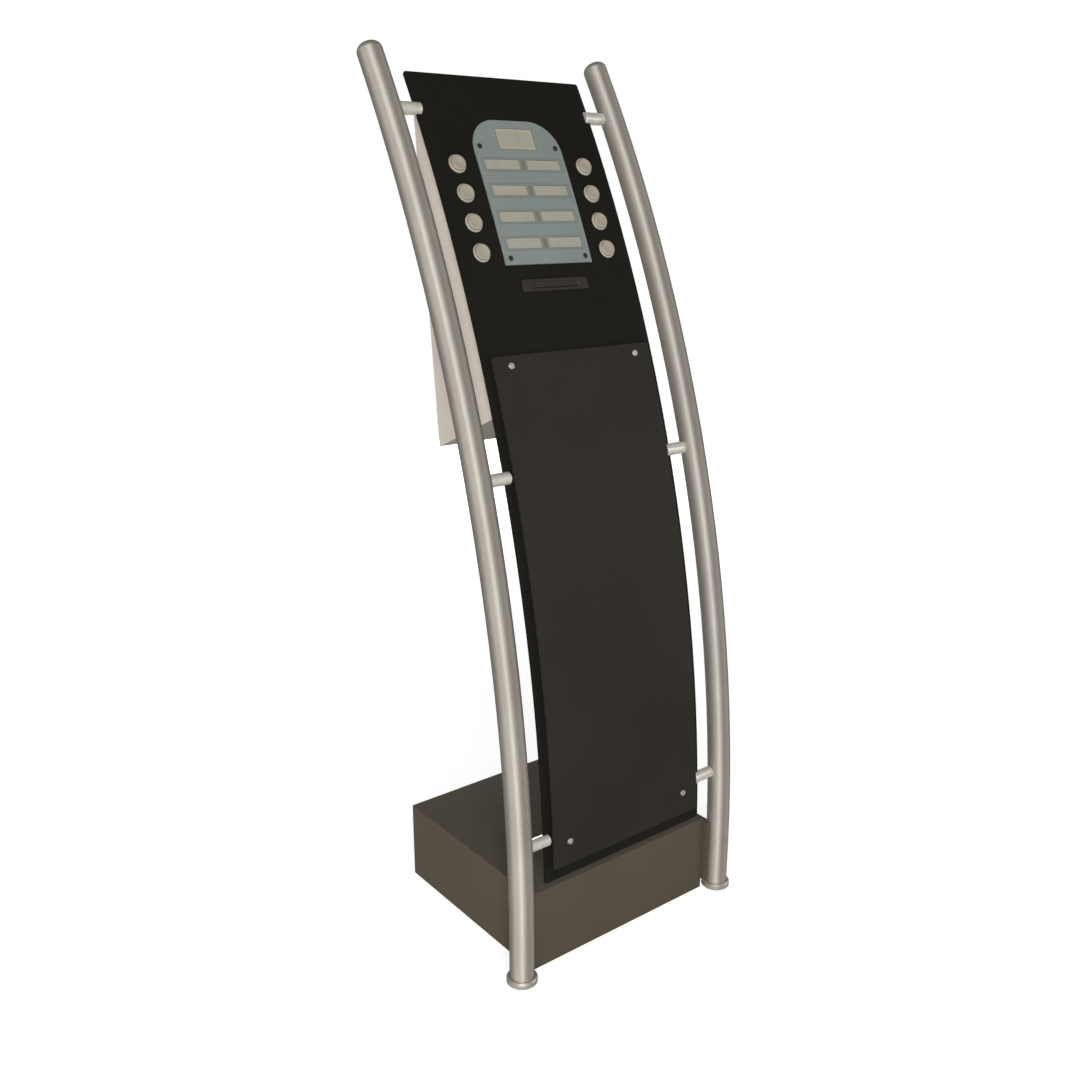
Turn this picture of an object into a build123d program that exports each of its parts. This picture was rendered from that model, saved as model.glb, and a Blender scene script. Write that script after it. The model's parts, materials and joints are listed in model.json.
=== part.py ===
from build123d import *

import os
from math import acos, atan2, cos, degrees, hypot, pi, radians, sin, tan

# Queue ticket kiosk, in millimetres.
# The origin is the centre of the base's footprint on the floor.
# +X is to the right of someone who faces the kiosk, -Y is its front and +Z is up.

# General clearances
slip = 0.3  # between pieces that slide past each other
seat = 0.1  # between pieces that are bolted or clamped together
running = 0.05  # radial, between a shaft and its bearing
edge_tolerance = 0.01  # for edges that are picked by their length
cutter_reach = 4  # a cutter is this many times as long as what it passes through

# Base plinth
base_width = 385.0
base_depth = 358.0
base_height = 138.5
base_sheet = 2.0
base_edge_radius = 2.5
post_size = 18.0
floor_plate_thickness = 10.0
floor_screw_radius = 2.5
floor_screw_head_radius = 5.0
floor_screw_length = 26.0
countersink_angle = 90.0

# Side rails
rail_side_gap = 7.5  # between the base and the rails
rail_diameter = 40.0
rail_wall = 2.5
rail_setback = 9.4  # the base's front stands this far behind the rails' centreline
rail_straight = 83.0  # height at which the bend starts
rail_bend_radius = 2575.0
rail_arc_length = 1386.0
rail_cap_height = 11.0
rail_cap_edge = 10.0
rail_plug_length = 24.0
foot_radius = 25.0
foot_height = 11.0
foot_edge = 3.0
groove_height = 3.0
groove_depth = 2.0

# Lugs that hold the rails to the base
lug_length = 48.0  # behind the base's front
lug_height = 116.0
lug_bottom = 16.0
lug_wrap = 4.0
lug_bolt_radius = 4.0
lug_bolt_head_radius = 6.5
lug_bolt_head_height = 5.0
lug_bolt_pitch = 76.0
lug_bolt_edge = 10.0

# Curved front panel
panel_side_gap = 30.0  # between its edges and the rails
panel_thickness = 4.0
panel_recess = 3.0  # its front lies this far behind the rails' centreline
panel_low = 71.0  # its lower end, measured along its front from the start of the bend
panel_top_gap = 27.0  # from its upper end to the ends of the tubes
panel_corner = 4.0

# Clamps between rails and panel
clamp_low_inset = 75.0  # from the panel's lower and upper ends
clamp_high_inset = 63.0
clamp_radius = 10.0
clamp_grip = 9.0
clamp_edge = 2.0
clamp_stud_radius = 3.0
clamp_stud_bite = 6.1  # inside the tube's wall
grub_radius = 2.0

# Overlay sheet on the lower panel
overlay_margin = 12.0  # from the panel's edges
overlay_low_inset = 23.0  # from the panel's lower end
overlay_drop = 458.0  # from the panel's upper end
overlay_thickness = 3.0
overlay_gap = 5.0
overlay_corner = 5.0
overlay_fixing_inset = 33.0  # from the overlay's sides, lower end and upper end
overlay_fixing_low = 40.0
overlay_fixing_high = 16.0
overlay_cap_radius = 5.0
overlay_cap_height = 3.0
overlay_cap_edge = 1.0
overlay_stud_radius = 2.5
overlay_spacer_radius = 6.0
overlay_nut_radius = 5.0
overlay_nut_height = 4.0

# Information plate with its label windows
plate_width = 172.0
plate_drop = 317.5  # from the panel's upper end to the plate's lower edge
plate_height = 240.0
plate_corner = 53.0  # of its upper corners
plate_thickness = 2.0
card_thickness = 1.2
label_rows = 4
label_rise = 34.1  # of the lowest labels above the plate's lower edge
label_pitch = 43.3
label_width = 67.0
label_height = 17.0
label_gap = 14.0
header_width = 71.0
header_height = 35.0
header_rise = 208.0
plate_screw_inset = 11.5
plate_screw_low_rise = 10.5
plate_screw_high_rise = 194.0
plate_screw_radius = 1.5
plate_screw_head_radius = 4.2
plate_screw_head_height = 1.8
plate_screw_head_edge = 0.9

# Push buttons
button_rows = 4
button_inset = 45.0  # from the panel's edges
button_rise = 21.2  # of the lowest buttons above the plate's lower edge
button_pitch = 47.6
button_flange_radius = 15.0
button_flange_height = 2.5
button_flange_edge = 1.5
button_cap_radius = 12.6
button_cap_height = 6.6
button_cap_edge = 1.6
button_dish_radius = 9.6  # of the hollow in the top of a cap
button_dish_depth = 1.1
button_barrel_radius = 14.0
button_barrel_length = 16.0
button_floor = 2.0
button_travel = 3.5
button_end_gap = 1.5  # left below a cap that is pressed home
button_nut_radius = 18.0
button_nut_height = 5.0
switch_width = 20.0
switch_depth = 10.0
switch_height = 14.0
terminal_length = 6.0
terminal_width = 5.0
terminal_thickness = 1.2
terminal_pitch = 10.0

# Ticket outlet
slot_drop = 351.0  # from the panel's upper end
bezel_rim_width = 20.0  # beside, above and below the mouth
bezel_rim_height = 5.5
bezel_proud = 4.0
bezel_corner = 4.0
bezel_edge = 2.0
mouth_side_gap = 5.0  # beside the paper
mouth_height = 9.0
mouth_wall = 2.0

# Rear housing
housing_margin = 18.0  # from the panel's edges
housing_sheet = 2.0
housing_top_drop = 41.0  # from the panel's upper end
housing_bottom_drop = 543.0
housing_low_depth = 187.0
housing_low_tilt = 24.2
housing_high_depth = 22.0
housing_flange = 8.0
housing_lip = 13.0
housing_screw_low_inset = 64.0  # from the housing's lower and upper ends
housing_screw_high_inset = 38.0
housing_screw_radius = 1.5
housing_screw_head_radius = 3.0
housing_screw_head_height = 2.4
housing_screw_bite = 2.5

# Rear door, its hinges and its cam lock
door_gap = 0.5
door_sheet = 2.0
door_return_inset = 18.0
door_return_depth = 5.0
hinge_length = 60.0
hinge_knuckles = 3
hinge_spread = 320.0
hinge_leaf = 1.6
hinge_leaf_width = 24.0
hinge_knuckle_radius = 4.0
hinge_pin_radius = 2.0
lock_inset = 36.0
lock_barrel_radius = 8.0
lock_flange_radius = 11.0
lock_flange_height = 3.0
lock_flange_edge = 1.0
lock_barrel_length = 9.0
lock_nut_radius = 12.0
lock_nut_height = 4.0
lock_plug_radius = 5.5
lock_cam_length = 26.0
lock_cam_width = 12.0
lock_cam_thickness = 2.0
key_slot_length = 7.0
key_slot_width = 1.4
key_slot_depth = 5.0

# Ticket printer
printer_side_gap = 5.0  # beside the mouth
printer_plate = 2.0
printer_depth = 92.0
printer_top = 27.0
printer_bottom = 58.0
printer_flange = 14.0
platen_radius = 8.0
platen_shaft_radius = 3.0
platen_depth = 52.0
platen_end_gap = 4.0
nip_gap = 0.3
gear_module = 0.8
gear_width = 5.0
gear_dedendum = 1.25  # in modules
gear_backlash = 0.12
pressure_angle = radians(20)
platen_teeth = 32
idler_teeth = 24
pinion_teeth = 18
idler_direction = -30.0  # from the platen to the idler, in degrees in the side view
pinion_direction = -90.0  # from the idler to the pinion
idler_pin_radius = 2.5
motor_radius = 17.0
motor_length = 24.0
motor_edge = 1.7
motor_shaft_radius = 2.0
motor_boss_radius = 5.5
head_depth = 14.0
head_height = 9.0
head_fin_count = 4
head_fin = 2.0
cutter_start = 28.0
cutter_depth = 13.0
cutter_height = 26.0
cutter_slot = 6.0
chute_wall = 2.0

# Paper roll
roll_width = 80.0
roll_radius = 45.0
roll_core_radius = 9.0
roll_depth = 64.0
roll_drop = 138.0
roll_arm = 2.0
roll_arm_height = 30.0
roll_arm_gap = 4.0
journal_radius = 4.0
paper_thickness = 0.4
paper_bend = 25.0

# Electronics
board_rise = 108.5  # above the plate's lower edge
board_width = 150.0
board_height = 96.0
board_thickness = 1.6
board_standoff = 12.0
board_standoff_radius = 3.5
board_hole_inset = 6.0
chip_x = -30.0
chip_size = 24.0
chip_height = 3.2
connector_count = 4
connector_pitch = 25.0
connector_drop = 32.0
connector_width = 19.0
connector_depth = 9.6
connector_height = 9.6
capacitor_count = 2
capacitor_x = 38.0
capacitor_rise = 16.0
capacitor_pitch = 19.0
capacitor_radius = 4.8
capacitor_height = 11.0
supply_width = 36.0
supply_depth = 90.0
supply_height = 110.0
supply_start = 25.0
supply_drop = 64.0
supply_edge = 1.8
supply_vent_count = 9
supply_vent_pitch = 7.0
supply_vent_length = 56.0
supply_vent_width = 3.0
supply_vent_depth = 2.0
terminal_block_width = 24.0
terminal_block_height = 12.0
terminal_block_depth = 9.0
terminal_block_drop = 12.0
inlet_inset = 52.0  # from the housing's side
inlet_depth = 88.0
inlet_width = 27.0
inlet_height = 20.0
inlet_body = 24.0
inlet_flange_width = 48.0
inlet_flange_height = 24.0
inlet_flange = 3.0
inlet_recess = 15.0
inlet_wall = 2.0
inlet_pin_width = 2.0
inlet_pin_height = 4.0
inlet_pin_spread = 13.5
inlet_pin_rise = 2.5

# Values worked out from the driving dimensions
rail_radius = rail_diameter / 2
rail_bore = rail_radius - rail_wall
rail_x = base_width / 2 + rail_side_gap + rail_radius
base_front = -base_depth / 2
rail_y = base_front - rail_setback
rail_low = foot_height + groove_height
bend_y = rail_y + rail_bend_radius
bend_z = rail_straight
panel_radius = rail_bend_radius - panel_recess
panel_back_radius = panel_radius - panel_thickness
panel_half = rail_x - rail_radius - panel_side_gap
panel_width = 2 * panel_half
panel_high = rail_arc_length - panel_top_gap
clamp_low = panel_low + clamp_low_inset
clamp_high = panel_high - clamp_high_inset
clamp_stations = (clamp_low, (clamp_low + clamp_high) / 2, clamp_high)
overlay_width = panel_width - 2 * overlay_margin
overlay_low = panel_low + overlay_low_inset
overlay_high = panel_high - overlay_drop
overlay_fixing_x = overlay_width / 2 - overlay_fixing_inset
overlay_fixing_stations = (overlay_low + overlay_fixing_low, overlay_high - overlay_fixing_high)
plate_low = panel_high - plate_drop
plate_high = plate_low + plate_height
plate_middle = plate_low + plate_height / 2
label_first = plate_low + label_rise
header_station = plate_low + header_rise
plate_screw_x = plate_width / 2 - plate_screw_inset
plate_screw_stations = (plate_low + plate_screw_low_rise, plate_low + plate_screw_high_rise)
button_x = panel_half - button_inset
button_first = plate_low + button_rise
button_skirt = button_barrel_length - button_floor - button_travel - button_end_gap
slot_station = panel_high - slot_drop
mouth_width = roll_width + 2 * mouth_side_gap
bezel_width = mouth_width + 2 * bezel_rim_width
bezel_height = mouth_height + 2 * bezel_rim_height
housing_half = panel_half - housing_margin
housing_width = 2 * housing_half
housing_low = panel_high - housing_bottom_drop
housing_high = panel_high - housing_top_drop
housing_screw_x = housing_half + housing_flange / 2
housing_screw_low = housing_low + housing_screw_low_inset
housing_screw_high = housing_high - housing_screw_high_inset
housing_screw_stations = (housing_screw_low, (housing_screw_low + housing_screw_high) / 2, housing_screw_high)
printer_width = mouth_width + 2 * (printer_side_gap + printer_plate)
board_station = plate_low + board_rise
inlet_x = housing_half - inlet_inset
sides = (-1, 1)


def arc_point(radius, station):
    """Point in the YZ plane, on a circle about the centre of the bend."""
    angle = station / panel_radius
    return bend_y - radius * cos(angle), bend_z + radius * sin(angle)


def panel_plane(station, x=0.0):
    """Plane on the panel's front: x to the right, y up the panel, z outwards."""
    angle = station / panel_radius
    y, z = arc_point(panel_radius, station)
    return Plane(origin=(x, y, z), x_dir=(1, 0, 0), z_dir=(0, -cos(angle), sin(angle)))


def side_plane(station, x=0.0):
    """Plane seen from the side: x into the kiosk, y up the panel, z to the right."""
    angle = station / panel_radius
    y, z = arc_point(panel_radius, station)
    return Plane(origin=(x, y, z), x_dir=(0, cos(angle), -sin(angle)), z_dir=(1, 0, 0))


def across(x, y, z):
    """Plane whose normal points along +X."""
    return Plane(origin=(x, y, z), x_dir=(0, 1, 0), z_dir=(1, 0, 0))


def bent_outline(front_radius, thickness, low, high):
    """Side view of a sheet that follows the bend."""
    start = 180 - degrees(high / panel_radius)
    sweep_angle = degrees((high - low) / panel_radius)
    with BuildSketch() as outline:
        with BuildLine():
            front = CenterArc((bend_y, bend_z), front_radius, start, sweep_angle)
            back = CenterArc((bend_y, bend_z), front_radius - thickness, start, sweep_angle)
            Line(front @ 0, back @ 0)
            Line(front @ 1, back @ 1)
        make_face()
    return outline.sketch


def bent_sheet(front_radius, thickness, low, high, width, corner):
    """Sheet that follows the bend, with rounded corners."""
    with BuildPart() as sheet:
        with BuildSketch(Plane.YZ):
            add(bent_outline(front_radius, thickness, low, high))
        extrude(amount=width / 2, both=True)
        corner_edges = sheet.edges().filter_by(lambda edge: abs(edge.length - thickness) < edge_tolerance)
        fillet(corner_edges, corner)
    return sheet.part


def save(part, name):
    """Label a finished piece and write it to its own file."""
    part.label = name
    export_step(part, f"parts/{name}.step")


os.makedirs("parts", exist_ok=True)

# Base: a folded cover with corner posts, closed below by a heavy floor plate
post_x = base_width / 2 - base_sheet - post_size / 2
post_y = base_depth / 2 - base_sheet - post_size / 2
post_height = base_height - base_sheet - floor_plate_thickness
lug_bolt_y = base_front + lug_length - lug_bolt_edge
lug_middle = lug_bottom + lug_height / 2
lug_bolt_points = [(lug_bolt_y, lug_middle + side * lug_bolt_pitch / 2) for side in sides]

with BuildPart() as base_shell:
    with BuildSketch():
        Rectangle(base_width, base_depth)
    extrude(amount=base_height)
    fillet(base_shell.edges().filter_by(Axis.Z), base_edge_radius)
    fillet(base_shell.faces().sort_by(Axis.Z)[-1].edges(), base_edge_radius / 2)
    with BuildSketch():
        Rectangle(base_width - 2 * base_sheet, base_depth - 2 * base_sheet)
    extrude(amount=base_height - base_sheet, mode=Mode.SUBTRACT)
    with BuildSketch(Plane.XY.offset(floor_plate_thickness)):
        with GridLocations(2 * post_x, 2 * post_y, 2, 2):
            Rectangle(post_size, post_size)
            Circle(floor_screw_radius + seat, mode=Mode.SUBTRACT)
    extrude(amount=post_height)
    for side in sides:
        with BuildSketch(across(side * base_width / 2, 0, 0)):
            with Locations(*lug_bolt_points):
                Circle(lug_bolt_radius + slip)
        extrude(amount=2 * base_sheet, both=True, mode=Mode.SUBTRACT)
save(base_shell.part, "base_shell")

with BuildPart() as base_floor_plate:
    with BuildSketch():
        Rectangle(base_width - 2 * base_sheet - 2 * slip, base_depth - 2 * base_sheet - 2 * slip)
    extrude(amount=floor_plate_thickness)
    with Locations(base_floor_plate.faces().sort_by(Axis.Z)[0]):
        with GridLocations(2 * post_x, 2 * post_y, 2, 2):
            CounterSinkHole(
                floor_screw_radius + seat,
                floor_screw_head_radius + slip,
                counter_sink_angle=countersink_angle,
            )
save(base_floor_plate.part, "base_floor_plate")

with BuildPart() as base_screws:
    head_drop = floor_screw_head_radius - floor_screw_radius
    with BuildSketch(Plane.XZ) as screw_profile:
        with BuildLine():
            Polyline(
                (0, slip),
                (floor_screw_head_radius, slip),
                (floor_screw_radius, slip + head_drop),
                (floor_screw_radius, floor_screw_length),
                (0, floor_screw_length),
                close=True,
            )
        make_face()
    one_screw = revolve(axis=Axis.Z, mode=Mode.PRIVATE)
    with GridLocations(2 * post_x, 2 * post_y, 2, 2):
        add(one_screw)
save(base_screws.part, "base_screws")

# Rails: a straight foot and one long bend, with a cap above and a flared foot below
rail_end_angle = rail_arc_length / rail_bend_radius
rail_end_y = bend_y - rail_bend_radius * cos(rail_end_angle)
rail_end_z = bend_z + rail_bend_radius * sin(rail_end_angle)
clamp_axis_radius = panel_radius - panel_thickness / 2
clamp_points = [arc_point(clamp_axis_radius, station) for station in clamp_stations]


def rail_line(side):
    """Centreline of the rail on one side."""
    with BuildLine(Plane.YZ.offset(side * rail_x)) as centreline:
        Line((rail_y, rail_low), (rail_y, bend_z))
        CenterArc((bend_y, bend_z), rail_bend_radius, 180, -degrees(rail_end_angle))
    return centreline.wires()[0]


for side, name in ((-1, "rail_left"), (1, "rail_right")):
    with BuildPart() as rail:
        with BuildSketch(Plane.XY.offset(rail_low)):
            with Locations((side * rail_x, rail_y)):
                Circle(rail_radius)
                Circle(rail_bore, mode=Mode.SUBTRACT)
        sweep(path=rail_line(side))
        with BuildSketch(Plane.YZ.offset(side * (rail_x - rail_radius))):
            with Locations(*clamp_points):
                Circle(clamp_stud_radius + seat)
        extrude(amount=rail_bore, both=True, mode=Mode.SUBTRACT)
    save(rail.part, name)

with BuildPart() as rail_caps:
    for side in sides:
        cap_plane = Plane(
            origin=(side * rail_x, rail_end_y, rail_end_z),
            x_dir=(1, 0, 0),
            z_dir=(0, sin(rail_end_angle), cos(rail_end_angle)),
        )
        with BuildSketch(cap_plane):
            Circle(rail_radius)
        crown = extrude(amount=rail_cap_height)
        fillet(crown.edges().group_by(Axis(cap_plane.origin, cap_plane.z_dir))[-1], rail_cap_edge)
        with BuildSketch(cap_plane):
            Circle(rail_bore - slip)
        extrude(amount=-rail_plug_length)
save(rail_caps.part, "rail_caps")

with BuildPart() as rail_feet:
    with BuildSketch(Plane.XZ):
        with BuildLine():
            Polyline(
                (0, 0),
                (foot_radius - foot_edge / 2, 0),
                (foot_radius, foot_edge / 2),
                (foot_radius, foot_height - foot_edge),
                (foot_radius - foot_edge, foot_height),
                (rail_radius - groove_depth, foot_height),
                (rail_radius - groove_depth, rail_low),
                (rail_bore - slip, rail_low),
                (rail_bore - slip, rail_low + rail_plug_length),
                (0, rail_low + rail_plug_length),
                close=True,
            )
        make_face()
    one_foot = revolve(axis=Axis.Z, mode=Mode.PRIVATE)
    with Locations((-rail_x, rail_y), (rail_x, rail_y)):
        add(one_foot)
save(rail_feet.part, "rail_feet")

with BuildPart() as rail_lugs:
    lug_outer = rail_x - rail_radius + lug_wrap
    lug_centre_x = (base_width / 2 + lug_outer) / 2
    lug_centre_y = (rail_y + base_front + lug_length) / 2
    for side in sides:
        with BuildSketch(Plane.XY.offset(lug_bottom)):
            with Locations((side * lug_centre_x, lug_centre_y)):
                Rectangle(lug_outer - base_width / 2, rail_setback + lug_length)
        extrude(amount=lug_height)
        with BuildSketch(Plane.XY.offset(rail_low)):
            with Locations((side * rail_x, rail_y)):
                Circle(rail_radius + running)
        sweep(path=rail_line(side), mode=Mode.SUBTRACT)
        with BuildSketch(across(side * lug_centre_x, 0, 0)):
            with Locations(*lug_bolt_points):
                Circle(lug_bolt_radius + seat)
        extrude(amount=lug_outer, both=True, mode=Mode.SUBTRACT)
save(rail_lugs.part, "rail_lugs")

with BuildPart() as rail_bolts:
    inner_wall = base_width / 2 - base_sheet
    for side in sides:
        with BuildSketch(across(side * inner_wall, 0, 0)):
            with Locations(*lug_bolt_points):
                RegularPolygon(lug_bolt_head_radius, 6)
        extrude(amount=-side * lug_bolt_head_height)
        with BuildSketch(across(side * inner_wall, 0, 0)):
            with Locations(*lug_bolt_points):
                Circle(lug_bolt_radius)
        extrude(amount=side * (lug_outer - inner_wall))
save(rail_bolts.part, "rail_bolts")

# Front panel: one curved sheet with the holes for everything that it carries
button_stations = [button_first + row * button_pitch for row in range(button_rows)][::-1]
button_planes = [panel_plane(station, side * button_x) for side in sides for station in button_stations]
overlay_planes = [
    panel_plane(station, side * overlay_fixing_x) for station in overlay_fixing_stations for side in sides
]
plate_screw_planes = [
    panel_plane(station, side * plate_screw_x) for station in plate_screw_stations for side in sides
]
housing_screw_planes = [
    panel_plane(station, side * housing_screw_x) for station in housing_screw_stations for side in sides
]
slot_plane = panel_plane(slot_station)
spigot_width = mouth_width + 2 * mouth_wall
spigot_height = mouth_height + 2 * mouth_wall

panel_blank = bent_sheet(panel_radius, panel_thickness, panel_low, panel_high, panel_width, panel_corner)
with BuildPart() as front_panel:
    add(panel_blank)
    with Locations(*button_planes):
        Cylinder(button_barrel_radius + seat, cutter_reach * panel_thickness, mode=Mode.SUBTRACT)
    with Locations(*overlay_planes):
        Cylinder(overlay_stud_radius + seat, cutter_reach * panel_thickness, mode=Mode.SUBTRACT)
    with Locations(*plate_screw_planes):
        Cylinder(plate_screw_radius + seat, cutter_reach * panel_thickness, mode=Mode.SUBTRACT)
    with Locations(*[plane.offset(-panel_thickness) for plane in housing_screw_planes]):
        Cylinder(housing_screw_radius + seat, 2 * (housing_screw_bite + slip), mode=Mode.SUBTRACT)
    with Locations(slot_plane):
        Box(
            spigot_width + 2 * seat,
            spigot_height + 2 * seat,
            cutter_reach * panel_thickness,
            mode=Mode.SUBTRACT,
        )
save(front_panel.part, "front_panel")

# Clamps: round pegs on the rails, slotted over the panel's edges
clamp_inner = panel_half - clamp_grip
grub_x = panel_half - clamp_grip / 2
clamp_stud_inner = panel_half + clamp_edge + slip
clamp_stud_length = rail_x - rail_radius + rail_wall + clamp_stud_bite - clamp_stud_inner - slip

with BuildPart() as panel_clamps:
    for side in sides:
        for station, (y, z) in zip(clamp_stations, clamp_points):
            with BuildSketch(across(side * clamp_inner, y, z)):
                Circle(clamp_radius)
            peg = extrude(amount=side * (rail_x - clamp_inner))
            fillet(peg.edges().sort_by(Axis.X)[-1 if side < 0 else 0], clamp_edge)
            clamp_plane = panel_plane(station)
            rail_tangent = arc_point(rail_bend_radius, station)
            with BuildSketch(Plane(origin=(side * rail_x, *rail_tangent), z_dir=clamp_plane.y_dir)):
                Circle(rail_radius + seat)
            extrude(amount=2 * clamp_radius, both=True, mode=Mode.SUBTRACT)
            with Locations(clamp_plane.offset(-panel_thickness / 2)):
                with Locations((side * clamp_inner, 0)):
                    Box(
                        2 * (clamp_grip + slip),
                        cutter_reach * clamp_radius,
                        panel_thickness + 2 * seat,
                        mode=Mode.SUBTRACT,
                    )
            with BuildSketch(across(side * clamp_stud_inner, y, z)):
                Circle(clamp_stud_radius + seat)
            extrude(amount=side * clamp_stud_length, mode=Mode.SUBTRACT)
            with BuildSketch(panel_plane(station, side * grub_x).offset(-panel_thickness)):
                Circle(grub_radius + running)
            extrude(amount=-2 * clamp_radius, mode=Mode.SUBTRACT)
save(panel_clamps.part, "panel_clamps")

with BuildPart() as clamp_studs:
    for side in sides:
        for y, z in clamp_points:
            with BuildSketch(across(side * (clamp_stud_inner + slip), y, z)):
                Circle(clamp_stud_radius)
            extrude(amount=side * clamp_stud_length)
save(clamp_studs.part, "clamp_studs")

with BuildPart() as clamp_grub_screws:
    grub_length = clamp_radius - panel_thickness / 2 - clamp_edge
    for side in sides:
        for station in clamp_stations:
            with BuildSketch(panel_plane(station, side * grub_x).offset(-panel_thickness - running)):
                Circle(grub_radius)
            extrude(amount=-grub_length)
save(clamp_grub_screws.part, "clamp_grub_screws")

# Overlay: a second sheet that stands off the lower panel on four fixings
overlay_radius = panel_radius + overlay_gap + overlay_thickness
overlay_blank = bent_sheet(
    overlay_radius, overlay_thickness, overlay_low, overlay_high, overlay_width, overlay_corner
)
with BuildPart() as overlay_panel:
    add(overlay_blank)
    with Locations(*overlay_planes):
        Cylinder(
            overlay_stud_radius + seat,
            cutter_reach * (overlay_gap + overlay_thickness),
            mode=Mode.SUBTRACT,
        )
save(overlay_panel.part, "overlay_panel")

with BuildPart() as overlay_spacers:
    for plane in overlay_planes:
        with BuildSketch(plane):
            Circle(overlay_spacer_radius)
            Circle(overlay_stud_radius + seat, mode=Mode.SUBTRACT)
        extrude(amount=overlay_gap - seat / 2)
save(overlay_spacers.part, "overlay_spacers")

overlay_stud_length = overlay_gap + overlay_thickness + panel_thickness + overlay_nut_height + 2 * seat
with BuildPart() as overlay_caps:
    for plane in overlay_planes:
        with BuildSketch(plane.offset(overlay_gap + overlay_thickness)):
            Circle(overlay_cap_radius)
        cap = extrude(amount=overlay_cap_height)
        outer_rim = cap.edges().group_by(Axis(plane.origin, plane.z_dir))[-1]
        fillet(outer_rim, overlay_cap_edge)
        with BuildSketch(plane.offset(overlay_gap + overlay_thickness)):
            Circle(overlay_stud_radius)
        extrude(amount=-overlay_stud_length)
save(overlay_caps.part, "overlay_caps")

with BuildPart() as overlay_nuts:
    for plane in overlay_planes:
        with BuildSketch(plane.offset(-panel_thickness - seat)):
            RegularPolygon(overlay_nut_radius, 6)
            Circle(overlay_stud_radius + running, mode=Mode.SUBTRACT)
        extrude(amount=-overlay_nut_height)
save(overlay_nuts.part, "overlay_nuts")

# Information plate: a sheet with round upper corners, two columns of label windows and a header window
plate_plane = panel_plane(plate_middle)
label_x = (label_width + label_gap) / 2
label_points = [
    (side * label_x, label_first + row * label_pitch - plate_middle)
    for side in sides
    for row in range(label_rows)
]
header_point = (0, header_station - plate_middle)


def cards(width, height, points):
    """Thin cards that lie on the panel, inside windows of the plate."""
    with BuildPart() as stack:
        with BuildSketch(Plane.YZ):
            add(bent_outline(panel_radius + card_thickness, card_thickness, plate_low, plate_high))
        extrude(amount=plate_width / 2, both=True)
        with BuildSketch(plate_plane):
            with Locations(*points):
                Rectangle(width - 2 * seat, height - 2 * seat)
        extrude(amount=plate_width, both=True, mode=Mode.INTERSECT)
    return stack.part


with BuildPart() as info_plate:
    with BuildSketch(Plane.YZ):
        add(bent_outline(panel_radius + plate_thickness, plate_thickness, plate_low, plate_high))
    extrude(amount=plate_width, both=True)
    with BuildSketch(plate_plane):
        sheet = Rectangle(plate_width, plate_height)
        fillet(sheet.vertices().group_by(Axis.Y)[-1], plate_corner)
        with Locations(*label_points):
            Rectangle(label_width, label_height, mode=Mode.SUBTRACT)
        with Locations(header_point):
            Rectangle(header_width, header_height, mode=Mode.SUBTRACT)
    extrude(amount=plate_width, both=True, mode=Mode.INTERSECT)
    with Locations(*plate_screw_planes):
        Cylinder(plate_screw_radius + seat, cutter_reach * plate_thickness, mode=Mode.SUBTRACT)
save(info_plate.part, "info_plate")

save(cards(label_width, label_height, label_points), "label_cards")
save(cards(header_width, header_height, [header_point]), "header_card")

with BuildPart() as info_plate_screws:
    for plane in plate_screw_planes:
        with BuildSketch(plane.offset(plate_thickness)):
            Circle(plate_screw_head_radius)
        head = extrude(amount=plate_screw_head_height)
        outer_rim = head.edges().group_by(Axis(plane.origin, plane.z_dir))[-1]
        fillet(outer_rim, plate_screw_head_edge)
        with BuildSketch(plane.offset(plate_thickness)):
            Circle(plate_screw_radius)
        extrude(amount=-(plate_thickness + panel_thickness))
save(info_plate_screws.part, "info_plate_screws")

# Push buttons: a threaded barrel with a round flange, a nut, a switch and a sprung cap
button_bore = button_cap_radius + slip
button_dish_sphere = (button_dish_radius**2 + button_dish_depth**2) / (2 * button_dish_depth)
switch_seat = button_barrel_length

for index, plane in enumerate(button_planes, start=1):
    with BuildPart() as button_cap:
        with BuildSketch(plane.offset(-button_skirt)):
            Circle(button_cap_radius)
        plunger = extrude(amount=button_skirt + button_cap_height)
        outer_rim = plunger.edges().group_by(Axis(plane.origin, plane.z_dir))[-1]
        fillet(outer_rim, button_cap_edge)
        with Locations(plane.offset(button_cap_height + button_dish_sphere - button_dish_depth)):
            Sphere(button_dish_sphere, mode=Mode.SUBTRACT)
    save(button_cap.part, f"button_cap_{index}")

with BuildPart() as button_bodies:
    for plane in button_planes:
        with BuildSketch(plane):
            Circle(button_flange_radius)
        flange = extrude(amount=button_flange_height)
        outer_rim = flange.edges().group_by(Axis(plane.origin, plane.z_dir))[-1]
        fillet(outer_rim, button_flange_edge)
        with BuildSketch(plane):
            Circle(button_barrel_radius)
        extrude(amount=-button_barrel_length)
        with BuildSketch(plane.offset(button_flange_height)):
            Circle(button_bore)
        extrude(
            amount=-(button_flange_height + button_barrel_length - button_floor),
            mode=Mode.SUBTRACT,
        )
save(button_bodies.part, "button_bodies")

with BuildPart() as button_nuts:
    for plane in button_planes:
        with BuildSketch(plane.offset(-panel_thickness - seat)):
            RegularPolygon(button_nut_radius, 6)
            Circle(button_barrel_radius + running, mode=Mode.SUBTRACT)
        extrude(amount=-button_nut_height)
save(button_nuts.part, "button_nuts")

with BuildPart() as button_switches:
    for plane in button_planes:
        with BuildSketch(plane.offset(-switch_seat)):
            Rectangle(switch_width, switch_depth)
        extrude(amount=-switch_height)
        with BuildSketch(plane.offset(-switch_seat - switch_height)):
            with GridLocations(terminal_pitch, 0, 2, 1):
                Rectangle(terminal_width, terminal_thickness)
        extrude(amount=-terminal_length)
save(button_switches.part, "button_switches")

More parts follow.
